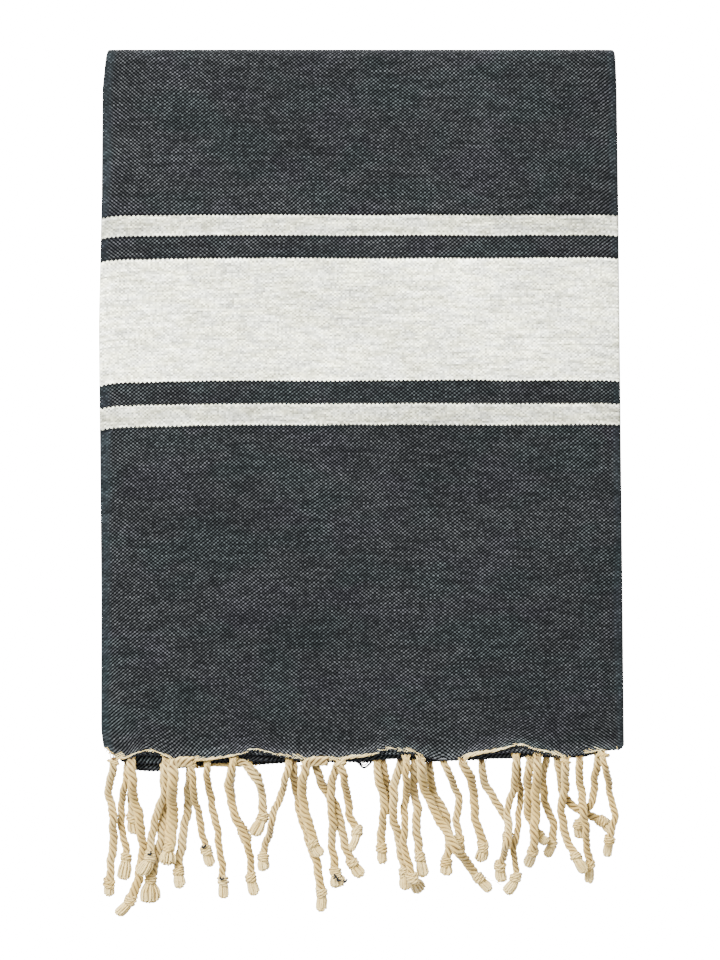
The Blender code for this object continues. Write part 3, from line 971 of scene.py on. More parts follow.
def ply_curves(graph, given):
    """The middle lines of all plies, from those of their strands."""
    curve = graph.out("GeometryNodeMeshToCurve", {"Mesh": given["Geometry"]})
    curve = graph.out("GeometryNodeCurveSplineType", {"Curve": curve}, spline_type="CATMULL_ROM")
    curve = graph.out("GeometryNodeResampleCurve", {"Curve": curve, "Length": given["Step"]},
                      mode="LENGTH")
    curve = graph.out("GeometryNodeSetCurveNormal", {"Curve": curve}, mode="Z_UP")
    curve = store(graph, curve, "along", graph.out("GeometryNodeSplineParameter", output="Length"))
    curve = store(graph, curve, "heart", graph.out("GeometryNodeInputPosition"), "FLOAT_VECTOR")
    copied = graph.add("GeometryNodeDuplicateElements", {
        "Geometry": curve, "Amount": given["Plies"]}, domain="SPLINE").outputs
    curve = store(graph, copied["Geometry"], "strand_ply", copied["Duplicate Index"])
    return graph.out("GeometryNodeSetPosition", {
        "Geometry": curve, "Offset": ply_offset(graph, given["Plies"], given["Lay"])})


def ply_surface(graph, curve, sides):
    """A round yarn along each curve, with what its material reads stored on it."""
    profile = graph.out("GeometryNodeCurvePrimitiveCircle", {
        "Resolution": sides, "Radius": 1.0}, mode="RADIUS")
    around = graph.out("GeometryNodeSplineParameter", output="Factor") * math.tau
    profile = store(graph, profile, "around", around)
    mesh = graph.out("GeometryNodeCurveToMesh", {
        "Curve": curve, "Profile Curve": profile, "Scale": named(graph, "ply"),
        "Fill Caps": True})
    off = graph.vector("LENGTH", graph.vector(
        "SUBTRACT", graph.out("GeometryNodeInputPosition"),
        named(graph, "heart", "FLOAT_VECTOR")))
    whole = graph.math("MAXIMUM", named(graph, "side"), named(graph, "up")) + named(graph, "ply")
    # How far out from the strand's middle a point lies; the material paints shade between the plies
    # from it
    mesh = store(graph, mesh, "outer", off / whole)
    fibre = graph.combine(graph.math("COSINE", named(graph, "around")),
                          graph.math("SINE", named(graph, "around")),
                          named(graph, "along") * (1 / MM))
    return store(graph, mesh, "fibre", fibre, "FLOAT_VECTOR")


TWIST_SIZES = (("Plies", "NodeSocketInt", 3), ("Lay", "NodeSocketFloat", 9.0 * MM),
               ("Step", "NodeSocketFloat", 0.8 * MM), ("Sides", "NodeSocketInt", 8))


def twisting_tree():
    """Geometry nodes that draw plies around middle lines, as many and as steep as asked."""
    tree = bpy.data.node_groups.get("twisted yarn")
    if tree:
        return tree
    tree = bpy.data.node_groups.new("twisted yarn", "GeometryNodeTree")
    face = tree.interface
    face.new_socket("Geometry", in_out="INPUT", socket_type="NodeSocketGeometry")
    for name, kind, default in TWIST_SIZES:
        face.new_socket(name, in_out="INPUT", socket_type=kind).default_value = default
    face.new_socket("Material", in_out="INPUT", socket_type="NodeSocketMaterial")
    face.new_socket("Geometry", in_out="OUTPUT", socket_type="NodeSocketGeometry")
    graph = Graph(tree)
    given = graph.add("NodeGroupInput").outputs
    mesh = ply_surface(graph, ply_curves(graph, given), given["Sides"])
    mesh = graph.out("GeometryNodeSetShadeSmooth", {"Geometry": mesh})
    mesh = graph.out("GeometryNodeRealizeInstances", {"Geometry": mesh})
    mesh = graph.out("GeometryNodeSetMaterial", {"Geometry": mesh, "Material": given["Material"]})
    graph.add("NodeGroupOutput", {"Geometry": mesh})
    return tree


def twisted(name, lines, material, slot, **sizes):
    """A piece of yarn: plies drawn around its middle lines by geometry nodes."""
    piece = new_piece(name, line_mesh(name, lines))
    tree = twisting_tree()
    modifier = piece.modifiers.new("twisted yarn", "NODES")
    modifier.node_group = tree
    for item in tree.interface.items_tree:
        if item.in_out == "INPUT" and item.name in sizes:
            modifier[item.identifier] = sizes[item.name]
        elif item.in_out == "INPUT" and item.name == "Material":
            modifier[item.identifier] = material
    apply_modifiers(piece)
    for layer in ("heart", "strand_ply", "around", "side", "up", "ply", "along"):
        if layer in piece.data.attributes:
            piece.data.attributes.remove(piece.data.attributes[layer])
    finish_piece(piece)
    return piece


# ---------------------------------------------------------------- materials
# How yarns stray from a straight grid: waves in a mm, and mm strayed across and along.
DRIFTS = ((0.016, (5.0, 1.6, 0.0)), (0.11, (0.7, 0.45, 0.0)))
TOOTH = 0.40                # how far a light band's end is toothed, in weft rows
BAND_END = (0.7, 1.7)       # weft rows from a band's end in which its edge line fades
RAW_EDGE = (1.0, 10.0)      # mm from the front raw edge in which its shine fades
RAW_EDGE_SHINE = 1.1
# Painted shade beside the left and right fold, where the cloth turns away: mm from it in which the
# shade fades, and how strong it is.
PAINTED_FOLD_SHADE = ((3.5, 8.5, 0.85), (3.0, 8.0, 0.6))
# The bluish tint of that painted shade.
PAINTED_FOLD_SHADE_TINT = (0.80, 1.06, 1.16, 1.0)
TINTS = ((1.02, 0.98, 1.05, 1.0), (0.93, 1.04, 1.02, 1.0))    # of patches of the dark cloth
SPECK = (0.30, 0.31, 0.29, 1.0)                               # in the light bands
MOODS = ((0.985, 0.985, 1.05, 1.0), (1.015, 1.0, 0.93, 1.0))  # cool and warm patches there

# How each unevenness shades the warp over dark weft, and the light bands: the part of its
# range that counts, and the shades at that part's ends.
DARK_SHADES = {"patch": (0.22, 0.78, 0.72, 1.34), "weft_slub": (0.2, 0.8, 0.58, 1.42),
               "warp_slub": (0.2, 0.8, 0.84, 1.16), "crossing": (0.2, 0.8, 0.68, 1.32),
               "broad": (0.2, 0.8, 0.84, 1.17)}
LIGHT_SHADES = {"over": (-0.8, 0.8, 0.72, 1.20), "crossing": (0.0, 1.0, 0.64, 1.36),
                "patch": (0.25, 0.75, 0.76, 1.24), "weft_slub": (0.2, 0.8, 0.60, 1.40),
                "broad": (0.3, 0.7, 0.86, 1.14)}


class Weave:
    """Where the cloth's yarns run and cross, and how uneven they are, for its shader."""

    def __init__(self, graph, settings):
        self.graph = graph
        uv = graph.out("ShaderNodeUVMap", uv_map="weave")
        self.flat = graph.vector("SCALE", uv, scale=1 / MM)
        wide, fine = (graph.vector("MULTIPLY", graph.vector(
            "SUBTRACT", graph.noise(self.flat, waves, 1.0, output="Color"), (0.5, 0.5, 0.5)),
            stray) for waves, stray in DRIFTS)
        self.u, self.v, _ = graph.separate(
            graph.vector("ADD", self.flat, graph.vector("ADD", wide, fine)))
        self.column = self.u / (settings.warp_pitch / MM)
        self.row = self.v / (settings.weft_pitch / MM)
        column_number = graph.math("FLOOR", self.column)
        self.row_number = graph.math("FLOOR", self.row)
        self.over = self.crossed()
        self.crossing = graph.out("ShaderNodeTexWhiteNoise", {
            "Vector": graph.combine(column_number, self.row_number)}, "Value",
            noise_dimensions="2D")
        self.weft_slub = graph.noise(
            graph.combine(self.u * 0.042, self.row_number * 7.31), 1.0, 2.0, 0.6)
        self.warp_slub = graph.noise(
            graph.combine(column_number * 5.17, self.v * 0.05), 1.0, 2.0, 0.6)
        self.patch = graph.noise(graph.combine(self.u * 0.060, self.v * 0.26), 1.0, 4.0, 0.72)
        self.broad = self.patches(0.010, 0.016)

    def crossed(self):
        """Above 0 where the warp is on top.

        The yarns' own twist links neighbouring crossings, one way or the other, into the
        fine slanting lines of the weave.
        """
        graph = self.graph
        lean = graph.between(graph.noise(self.flat, 0.045, 3.0, 0.7), 0.30, 0.70, -0.10, 0.18)
        lean = lean + graph.attribute("drawn")
        rising = graph.math("COSINE", (self.column - self.row) * math.pi)
        falling = graph.math("COSINE", (self.column + self.row) * math.pi)
        return 0.5 * ((1.0 + lean) * rising - (1.0 - lean) * falling)

    def patches(self, across, along, detail=2.0, roughness=0.5, output="Fac"):
        """Noise of so many waves in a mm."""
        scaled = self.graph.vector("MULTIPLY", self.flat, (across, along, 0.0))
        return self.graph.noise(scaled, 1.0, detail, roughness, output)

    def shades(self, table):
        """A shade for each unevenness in a table."""
        return [self.graph.between(getattr(self, name), *sizes) for name, sizes in table.items()]


def light_bands(weave, rows):
    """1 in the light bands, 1 in the thin ones alone, and 1 at the bands' ends.

    The bands end in the small teeth that the warp makes over their last weft.
    """
    graph = weave.graph
    tooth = TOOTH * graph.math("SINE", weave.column * math.pi)
    at = graph.math("MINIMUM", weave.row, rows - weave.row) + tooth
    light, thin, border = 0.0, 0.0, 0.0
    for low, high, slim in BANDS:
        off = abs(at - (low + high) / 2) - (high - low) / 2
        inside = graph.math("LESS_THAN", off, 0.0)
        light = light + inside
        thin = thin + inside * slim
        border = graph.math("MAXIMUM", border, graph.between(abs(off), *BAND_END, 1.0, 0.0))
    return light, thin, border


def dark_cloth(weave, settings, folds, border):
    """Undyed warp over dyed weft, with painted shade beside the side folds, duller and bluer where
    they turn away, and pale at the raw edge.
    """
    graph = weave.graph
    tint = (1.0, 1.0, 1.0, 1.0)
    hues = graph.separate(weave.patches(0.020, 0.036, 2.0, 0.6, "Color"))
    for hue, other in zip(hues, TINTS):
        tint = graph.mix(graph.between(hue, 0.46, 0.66), tint, other)
    # Painted shade beside the side folds: the warp's dots fade into an even, bluish tone where the
    # cloth turns away.
    painted_fold_shade = graph.math("MAXIMUM", *(
        graph.between(abs(weave.u - fold / MM), near, far, share, 0.0)
        for fold, (near, far, share) in zip(folds, PAINTED_FOLD_SHADE)))
    painted_fold_shade = painted_fold_shade * graph.between(graph.noise(weave.flat, 0.22), 0.25, 0.55, 0.6, 1.0)
    edge = graph.between(weave.v, *RAW_EDGE, 1.0, 0.0)
    shine = reduce(mul, weave.shades(DARK_SHADES))
    shine = shine * (1.0 + edge * RAW_EDGE_SHINE) * (1.0 - border * 0.5)
    on_top = graph.between(weave.over, -0.25, 0.75) * (1.0 - painted_fold_shade * 0.80) + painted_fold_shade * 0.26
    dark = graph.mix(on_top, rgba(settings.weft_colour),
                     graph.shaded(rgba(settings.warp_colour), shine))
    dark = graph.shaded(dark, tint)
    return graph.mix(painted_fold_shade * 0.7, dark, graph.shaded(dark, PAINTED_FOLD_SHADE_TINT))


def light_cloth(weave, settings, thin, border):
    """Undyed warp over undyed weft, with specks, cool and warm patches and bright ends."""
    graph = weave.graph
    speck = graph.noise(graph.combine(weave.u * 0.16, weave.row_number * 3.7), 1.0, 4.0, 0.7)
    band = graph.mix(graph.between(speck, 0.50, 0.78) * 0.45, rgba(settings.band_colour), SPECK)
    mood = graph.mix(graph.between(weave.patches(0.05, 0.14, 3.0, 0.7), 0.38, 0.62), *MOODS)
    for shade in (*weave.shades(LIGHT_SHADES), 1.0 - thin * 0.34, 1.0 + border * 0.5, mood):
        band = graph.shaded(band, shade)
    return band


def weave_material(settings, folds, length):
    """Plain weave: undyed warp over and under a weft that is dyed or, in bands, undyed."""
    made, graph, shader = new_material("plain weave cotton", 0.9, 0.015)
    shader.inputs["Specular IOR Level"].default_value = 0.03
    weave = Weave(graph, settings)
    light, thin, border = light_bands(weave, length / settings.weft_pitch)
    graph.feed(shader.inputs["Base Color"], graph.mix(
        light, dark_cloth(weave, settings, folds, border),
        light_cloth(weave, settings, thin, border)))
    pillow = graph.math("POWER", abs(weave.over), 0.6)
    graph.bump(shader, 0.5, 0.15 * MM, pillow + weave.weft_slub * 0.5)
    return made


def yarn_material(settings):
    """Undyed cotton: golden on the plies' tops, with painted brown shade between them, and its
    fibres' grain.
    """
    made = bpy.data.materials.get("undyed cotton yarn")
    if made:
        return made
    made, graph, shader = new_material("undyed cotton yarn", 0.85, 0.04)
    fibre = graph.attribute("fibre", "Vector")
    grain = graph.noise(graph.vector("MULTIPLY", fibre, (2.6, 2.6, 0.45)), 1.0, 3.0, 0.6)
    place = graph.vector("SCALE", graph.out("ShaderNodeTexCoord", output="Object"), scale=1 / MM)
    cloud = graph.between(graph.noise(place, 0.09), 0.3, 0.7, -0.25, 0.25)
    tone = graph.attribute("tone") + cloud
    colour = graph.mix(graph.between(tone, 0.0, 1.0), rgba(settings.colour), rgba(settings.pale))
    colour = graph.mix(graph.between(tone, 1.0, 2.0), colour, rgba(settings.cream))
    colour = graph.shaded(colour, graph.between(grain, 0.25, 0.75, 0.70, 1.12))
    # Painted shade between the plies: the deeper a point lies toward the strand's middle, the more
    # it turns to the painted shade colour
    deep = graph.between(graph.attribute("outer"), 0.62, 0.97, 1.0, 0.0)
    colour = graph.mix(deep, colour, rgba(settings.painted_crevice_shade))
    graph.feed(shader.inputs["Base Color"], colour)
    graph.bump(shader, 0.5, 0.12 * MM, grain)
    return made


def dyed_material(settings):
    """The dyed weft yarn where it lies free."""
    made = bpy.data.materials.get("dyed cotton yarn")
    if made:
        return made
    made, _, shader = new_material("dyed cotton yarn", 0.9, 0.02)
    shader.inputs["Base Color"].default_value = rgba(settings.dyed)
    return made


# ---------------------------------------------------------------- the stage
UNDER_SHARE = 0.12          # of the even light that comes from below, off the floor


def make_stage(settings):
    """A pale floor, soft even light, and a camera straight above the laid towel."""
    reach = 3.0
    mesh = bpy.data.meshes.new("floor")
    mesh.from_pydata([(-reach, -reach, 0), (reach, -reach, 0), (reach, reach, 0),
                      (-reach, reach, 0)], [], [(0, 1, 2, 3)])
    floor = bpy.data.objects.new("floor", mesh)
    bpy.context.scene.collection.objects.link(floor)
    made, graph, shader = new_material("pale floor", 0.95, 0.0)
    shader.inputs["Base Color"].default_value = rgba(settings.floor_colour)
    shader.inputs["Emission Color"].default_value = (1.0, 1.0, 1.0, 1.0)
    shader.inputs["Emission Strength"].default_value = settings.floor_glow
    mesh.materials.append(made)
    floor.visible_diffuse = False
    floor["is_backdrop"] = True

    world = bpy.data.worlds.new("studio")
    world.use_nodes = True
    graph = Graph(world.node_tree)
    _, _, height = graph.separate(graph.out("ShaderNodeTexCoord", output="Generated"))
    background = world.node_tree.nodes["Background"]
    background.inputs["Color"].default_value = (1.0, 1.0, 1.0, 1.0)
    graph.feed(background.inputs["Strength"],
               graph.between(height, -0.15, 0.25, settings.sky * UNDER_SHARE, settings.sky))
    bpy.context.scene.world = world

    lamp = bpy.data.lights.new("key", "AREA")
    lamp.shape = "RECTANGLE"
    lamp.size = 1.6
    lamp.size_y = 1.2
    lamp.energy = settings.key
    key = bpy.data.objects.new("key", lamp)
    key.location = (-1.3, 1.5, 2.2)
    key.rotation_euler = (-key.location).to_track_quat("-Z", "Y").to_euler()
    bpy.context.scene.collection.objects.link(key)

    camera = bpy.data.cameras.new("camera")
    camera.sensor_fit = "VERTICAL"
    camera.sensor_height = 36.0
    camera.lens = camera.sensor_height * settings.distance / settings.view_height
    eye = bpy.data.objects.new("camera", camera)
    eye.location = (-1.0 * MM, 1.6 * MM, settings.distance + TOP_LEVEL * PITCH)
    bpy.context.scene.collection.objects.link(eye)
    bpy.context.scene.camera = eye


# ---------------------------------------------------------------- the cloth
def unrolled(points):
    """How far along a row of points each one is."""
    steps = [0.0] + [(b - a).length for a, b in zip(points, points[1:])]
    return np.cumsum(steps)


def nearest_root(x, panel, which):
    """The x of the root on a panel's raw edge that lies nearest to x."""
    roots = [strand.root * MM for strand in STRANDS[which] if strand.panel == panel]
    return min(roots, key=lambda root: abs(root - x))


def weave_place(along, across, u, v, point):
    """The place in the weave that lies at a grid point, where folds and roots pull at it."""
    left, right = side_folds(point.y)
    from_left, from_right = max(point.x - left, 0.0), max(right - point.x, 0.0)
    below = smooth((SAG_WIDE_FROM - point.y) / SAG_WIDE_EASE)
    v += SAG_LEFT.depth * math.exp(-from_left / SAG_LEFT.reach)
    v += SAG_LEFT_WIDE.depth * math.exp(-from_left / SAG_LEFT_WIDE.reach) * below
    v += SAG_RIGHT.depth * math.exp(-from_right / SAG_RIGHT.reach)
    if along.side and across.panel != "fold":
        away = point.x - nearest_root(point.x, across.panel, along.side)
        pull = max(-ROOT_PULL_MOST, min(away * ROOT_PULL, ROOT_PULL_MOST))
        turned = -1.0 if across.panel != "middle" else 1.0
        u += turned * pull * math.exp(-along.reach / ROOT_PULL_REACH)
    return u, v


def drawn(along, across, point):
    """How the weave slants at a raw edge and beside the top's sides: above 0 it rises."""
    if along.side == BACK:
        return -DRAWN if across.panel == "middle" else DRAWN
    if along.side != FRONT or across.panel != "middle":
        return 0.0
    away = point.x - nearest_root(point.x, "middle", FRONT)
    slant = DRAWN * max(-1.0, min(away / DRAWN_HALF, 1.0)) * math.exp(-along.reach / DRAWN_REACH)
    ys, *sides = zip(*reversed(SIDE_SLANTS))
    for x, way, slants in zip(side_folds(point.y), (1.0, -1.0), sides):
        far = math.hypot(point.x - x, along.reach) / DRAWN_CORNER_REACH
        slant += DRAWN_CORNER * way * math.exp(-far ** 2)
        beside = math.exp(-((point.x - x) / SIDE_SLANT_REACH) ** 2)
        slant += float(np.interp(point.y / MM, ys, slants)) * beside
    return slant


def fold_places(columns, us):
    """Where the side folds' outermost lines lie in the unrolled width."""
    for x in (-1.0, 1.0):
        yield max((abs(column.out), u) for column, u in zip(columns, us)
                  if column.panel == "fold" and column.x == x)[1]


def cloth_mesh(columns, rows, us, vs):
    """The whole cloth as one grid, with its places in the weave as its UV map."""
    points, places, slants = [], [], []
    for along, v in zip(rows, vs):
        for across, u in zip(columns, us):
            point = on_cloth(along, across)
            points.append(point)
            slants.append(drawn(along, across, point))
            places.append(weave_place(along, across, u, v, point))
    width = len(columns)
    faces = [(k, k + 1, k + 1 + width, k + width)
             for row in range(len(rows) - 1) for k in range(row * width, (row + 1) * width - 1)]
    mesh = bpy.data.meshes.new("woven_cloth")
    mesh.from_pydata(points, [], faces)
    mesh.attributes.new("drawn", "FLOAT", "POINT").data.foreach_set("value", slants)
    layer = mesh.uv_layers.new(name="weave")
    corners = np.array([places[k] for face in faces for k in face], np.float32)
    layer.uv.foreach_set("vector", corners.ravel())
    mesh.shade_smooth()
    return mesh


def make_cloth(settings):
    """The whole cloth, from raw edge to raw edge, with all its folds in one thin sheet."""
    columns, rows = section(), lengthwise()
    middle = next(column for column in columns if column.x >= 0.0 and column.panel == "middle")
    quiet = rows[len(rows) // 8]
    us = unrolled([on_cloth(quiet, column) for column in columns])
    vs = unrolled([on_cloth(row, middle) for row in rows])
    mesh = cloth_mesh(columns, rows, us, vs)
    mesh.materials.append(weave_material(settings, list(fold_places(columns, us)), vs[-1]))
    piece = new_piece("woven_cloth", mesh)
    thick = piece.modifiers.new("cloth thickness", "SOLIDIFY")
    thick.thickness = settings.thickness
    thick.offset = 0.0
    thick.use_even_offset = True
    apply_modifiers(piece)
    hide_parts("towel_cloth")
    finish_piece(piece)


# ---------------------------------------------------------------- the strands
SEEDS = {"strands": 11, "knots": 31, "loose_ends": 51, "warp_ends": 71}
STRAND_BACK = 2.0 * MM      # how far a strand starts back, toward the cloth's edge
HEAD = 7.0 * MM             # run in which a strand's head gathers
HEAD_PLY = 0.60             # radius of a ply at the head, of its full one
WOBBLES = ((0.42 * MM, 23.0 * MM), (0.26 * MM, 11.0 * MM))   # sway and length of its waves
LUMP = 6                    # points between the thicker and thinner parts of a strand
LUMPS = (0.93, 1.07)        # how thick they are, beside the strand's own thickness,
THICKNESS = (0.94, 1.06)    # and how thick that is, beside what the table of strands says
INTO_KNOT = 0.25            # knot lengths that it runs on past its knot's middle
LYING = 0.1 * MM            # least room between the yarn and the surface it lies on
STRAND_TONE = (0.0, 0.5)
HEAD_TONE = 0.6             # how much paler a strand is at its root,
HEAD_TONE_REACH = 5 * MM    # and how soon that ends
# How far plies stand off their strand's middle, in their own radii: sideways, and how much
# further at its head; upward at its head, and how much further past that.
STANDS_SIDE, STANDS_UP = (1.38, 0.30), (0.55, 0.55)

# Strands whose heads run along the hem: how far to the right, or left below 0, they start.
HEADS = {("middle", -122): 13.0 * MM, ("middle", -36): 14.0 * MM, ("right flap", -75): -9.0 * MM}
HEAD_POINTS = ((1.0, 1.0), (0.5, 1.0), (0.15, 0.5))     # shares of that and of STRAND_BACK
HEAD_UP = 0.7 * MM          # of such a head, above the strand's root
HEAD_JOIN = 2.0 * MM        # run at which it meets its strand's own way
HEAD_GATHER = 0.75          # least that it is gathered


def shaken(part, which):
    """A source of small differences for one part of a fringe, the same each run."""
    return np.random.default_rng(SEEDS[part] + which)


def strand_line(laid, ply_radius, rng):
    """The middle line of a strand's twisted part, from under the hem into its knot."""
    along_hem = HEADS.get((laid.strand.panel, laid.strand.root))
    if along_hem:
        heads = [(along_hem * out, STRAND_BACK * back, HEAD_UP) for out, back in HEAD_POINTS]
        start, least = HEAD_JOIN, HEAD_GATHER
    else:
        heads, start, least = [(0.0, STRAND_BACK, 0.0)], 0.0, 0.0
    keep = (laid.run >= start) & (laid.run < laid.knot + KNOT * INTO_KNOT)
    points = np.vstack([laid.points[0] + np.array(heads), laid.points[keep]])
    steps = np.linalg.norm(np.diff(points[:len(heads) + 1], axis=0), axis=1)
    run = np.concatenate([start - np.cumsum(steps[::-1])[::-1], laid.run[keep]])
    for sway, length in WOBBLES:
        points[:, 0] += sway * np.sin(math.tau * run / length + rng.uniform(0, math.tau)) \
            * np.clip(run / HEAD, 0.0, 1.0)
    gather = np.array([max(smooth(0.25 + 0.75 * (s + STRAND_BACK) / HEAD), least) for s in run])
    lumps = rng.uniform(*LUMPS, len(run) // LUMP + 2)
    ply = ply_radius * laid.strand.stout * rng.uniform(*THICKNESS) \
        * (HEAD_PLY + (1 - HEAD_PLY) * gather)
    ply *= np.interp(np.arange(len(run)), np.arange(len(lumps)) * LUMP, lumps)
    side = ply * (STANDS_SIDE[0] + STANDS_SIDE[1] * (1 - gather))
    up = ply * (STANDS_UP[0] + STANDS_UP[1] * gather)
    points[:, 2] = np.maximum(points[:, 2], ply + up + LYING)
    pale = HEAD_TONE * np.exp(-np.maximum(run, 0.0) / HEAD_TONE_REACH)
    return Line(points, side, up, ply, rng.uniform(*STRAND_TONE) + pale)


def make_strands(which, settings):
    """The twisted strands of one fringe."""
    rng = shaken("strands", which)
    lines = [strand_line(laid, settings.ply_radius, rng) for laid in laid_strands()[which]]
    piece = twisted(f"{SIDES[which]}_strands", lines, yarn_material(settings), "fringe",
                    Plies=settings.plies, Lay=settings.lay, Step=0.8 * MM, Sides=9)
    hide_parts(f"{SIDES[which]}_fringe")


# ---------------------------------------------------------------- the knots
KNOT_SAMPLES = 12           # points in one turn of a coil
COIL_ENDS = 2.5             # a coil comes out, and goes back in, within a turn's 1 / 2.5
MORE_TURNS = (-0.3, 0.5)    # turns that a coil may have less, or more


class Coil(NamedTuple):
    """The wraps of a knot, or the looser ones about a strand's head."""

    turns: float        # of a usual one
    radius: float       # from the strand's middle to the middle of a wrap
    inner: float        # share of that radius at which the coil starts and ends
    high: float         # height of the coil as a share of its width
    wrap: float         # radius of a wrap
    thin: float         # share of it at the coil's ends
    reach: float        # from the first wrap to the last, along the strand
    tone: tuple         # least and most


KNOT_COIL = Coil(2.7, 2.85 * MM, 0.40, 0.85, 1.40 * MM, 0.60, 6.4 * MM, (0.2, 0.7))
KNOT_LEAN = (0.10, 0.45)    # how far a knot's wraps lean along the strand, of their radius
KNOT_SIZE = (0.94, 1.08)    # how wide a knot is beside the usual one
HEAD_COIL = Coil(1.6, 2.6 * MM, 0.3, 0.6, 1.3 * MM, 0.6, 1.6 * MM, (0.1, 0.8))
HEAD_COIL_RUN = 0.6 * MM    # where it lies, from the strand's root
HEAD_COIL_SIZE = (0.6, 1.15)
HEAD_COIL_SWAY = 5.0 * MM   # how far its wraps stray to either side along the hem
WRAP_STANDS = 0.42          # of its radius, how far a wrap's plies stand off its middle line,
WRAP_PLY = 0.60             # and the radius of one


def along_line(laid, run):
    """A strand's place, heading, left hand and upward way at a run from its root."""
    place, ahead, behind = (np.array([np.interp(at, laid.run, laid.points[:, k])
                                      for k in range(3)]) for at in (run, run + MM, run - MM))
    heading = (ahead - behind) / np.linalg.norm(ahead - behind)
    left = np.cross((0.0, 0.0, 1.0), heading)
    left /= np.linalg.norm(left)
    return place, heading, left, np.cross(heading, left)


def coil_turns(coil, rng):
    """The angles of a coil, each one's share of its way, and how far it is out of its inside."""
    turns = coil.turns + rng.uniform(*MORE_TURNS)
    angles = np.linspace(0.0, math.tau * turns, round(turns * KNOT_SAMPLES))
    share = angles / angles[-1]
    return angles, share, np.minimum(np.minimum(share, 1 - share) * turns * COIL_ENDS, 1.0)


def coil_line(coil, spot, wide, axial, sway, angles, out, size, rng):
    """The line of a coil about a spot of a strand, from how far its points stand off it."""
    place, heading, left, up = spot
    points = (place + axial[:, None] * heading
              + (wide * np.cos(angles) + sway)[:, None] * left
              - (wide * coil.high * np.sin(angles))[:, None] * up)
    wrap = coil.wrap * size * (coil.thin + (1 - coil.thin) * out)
    points[:, 2] = np.maximum(points[:, 2], wrap * 1.02 + LYING)
    stands = wrap * WRAP_STANDS
    return Line(points, stands, stands, wrap * WRAP_PLY, rng.uniform(*coil.tone))


def knot_line(laid, rng):
    """The wraps of a strand's knot, as one leaning coil that starts and ends inside it."""
    coil = KNOT_COIL
    angles, share, out = coil_turns(coil, rng)
    lean, lean_from = rng.uniform(*KNOT_LEAN), rng.uniform(0, math.tau)
    wide = coil.radius * (coil.inner + (1 - coil.inner) * out) * rng.uniform(*KNOT_SIZE)
    axial = coil.reach * (share - 0.5) + lean * wide * np.cos(angles - lean_from)
    start = rng.uniform(0, math.tau)
    return coil_line(coil, along_line(laid, laid.knot), wide, axial, 0.0, angles + start, out,
                     1.0, rng)


def root_line(laid, rng):
    """The loose wrap of warp that gathers a strand's head at the front hem."""
    coil = HEAD_COIL
    angles, share, out = coil_turns(coil, rng)
    size = rng.uniform(*HEAD_COIL_SIZE)
    wide = coil.radius * size * (coil.inner + (1 - coil.inner) * out)
    start, sway = rng.uniform(0, math.tau), rng.choice((-1.0, 1.0)) * HEAD_COIL_SWAY
    return coil_line(coil, along_line(laid, HEAD_COIL_RUN), wide, coil.reach * (share - 0.3),
                     sway * (share - 0.5), angles + start, out, size, rng)


def make_knots(which, settings):
    """The knots of one fringe, and on the front one the wraps about some strands' heads."""
    rng = shaken("knots", which)
    lines = [knot_line(laid, rng) for laid in laid_strands()[which]]
    if which == FRONT:
        lines += [root_line(laid, rng) for laid in laid_strands()[which]
                  if laid.strand.panel == "middle"]
    twisted(f"{SIDES[which]}_knots", lines, yarn_material(settings), "fringe",
            Plies=3, Lay=8.0 * MM, Step=0.8 * MM, Sides=7)


# ---------------------------------------------------------------- the loose ends
TAIL_YARNS = 50
TAIL_YARN = 1.8             # radius of one of them, in warp yarns' radii,
TAIL_THICK = (0.85, 1.25)   # and how thick it is beside that
TAIL_POINTS = 5
TAIL_START = 1.0 * MM       # how far inside the knot the loose yarns start
TAIL_NECK = 2.5 * MM        # half width of the brush there,
TAIL_WIDEN = (3.0, 4.0)     # and further out, in millimetres
TAIL_HIGH = 0.75            # its height as a share of its width
TAIL_LEAN = 0.12            # most that it leans to a side, for each metre of its run
TAIL_CUT = (-0.7, 0.3)      # how unevenly its yarns are cut, in millimetres,
TAIL_ROUND = 2.4 * MM       # and how much shorter the outermost ones are
TAIL_STRAY = 0.18           # most that a yarn's points stray, in millimetres
GOLDEN_ANGLE = 2.399963

# A thin yarn that has strayed between two tips, as x, y and z in millimetres.
STRAY = ((80.5, -256.0, 3.2), (83.5, -258.6, 0.6), (87.0, -259.4, 0.5), (90.5, -261.8, 2.4))


def tail_lines(laid, radius, rng):
    """The cut yarns past a knot, as an uneven round-ended brush that lies on the surface."""
    start, end = laid.knot + TAIL_START, laid.run[-1]
    full = rng.uniform(*TAIL_WIDEN) * MM * laid.strand.flare
    lean = rng.uniform(-TAIL_LEAN, TAIL_LEAN)
    shares = np.linspace(0, 1, TAIL_POINTS)
    for k in range(TAIL_YARNS):
        ray = math.sqrt((k + 0.5) / TAIL_YARNS)
        turn = k * GOLDEN_ANGLE + rng.uniform(-0.3, 0.3)
        stop = end + rng.uniform(*TAIL_CUT) * MM - TAIL_ROUND * ray ** 3
        points = []
        for share, run in zip(shares, start + (stop - start) * shares):
            known = min(run, end - MM)
            place, heading, left, up = along_line(laid, known)
            place = place + heading * (run - known) + left * lean * (run - start)
            wide = ray * (TAIL_NECK + (full - TAIL_NECK) * smooth(share * 1.6))
            points.append(place + left * wide * math.cos(turn)
                          + up * wide * TAIL_HIGH * math.sin(turn))
        points = np.array(points)
        points[1:] += rng.uniform(-TAIL_STRAY, TAIL_STRAY, (TAIL_POINTS - 1, 3)) * MM
        points[:, 2] = np.maximum(points[:, 2], radius * TAIL_THICK[1] + LYING)
        tone = 0.55 + 0.45 * shares + rng.uniform(-0.2, 0.2)
        yield Line(points, 0.0, 0.0, radius * rng.uniform(*TAIL_THICK), tone)


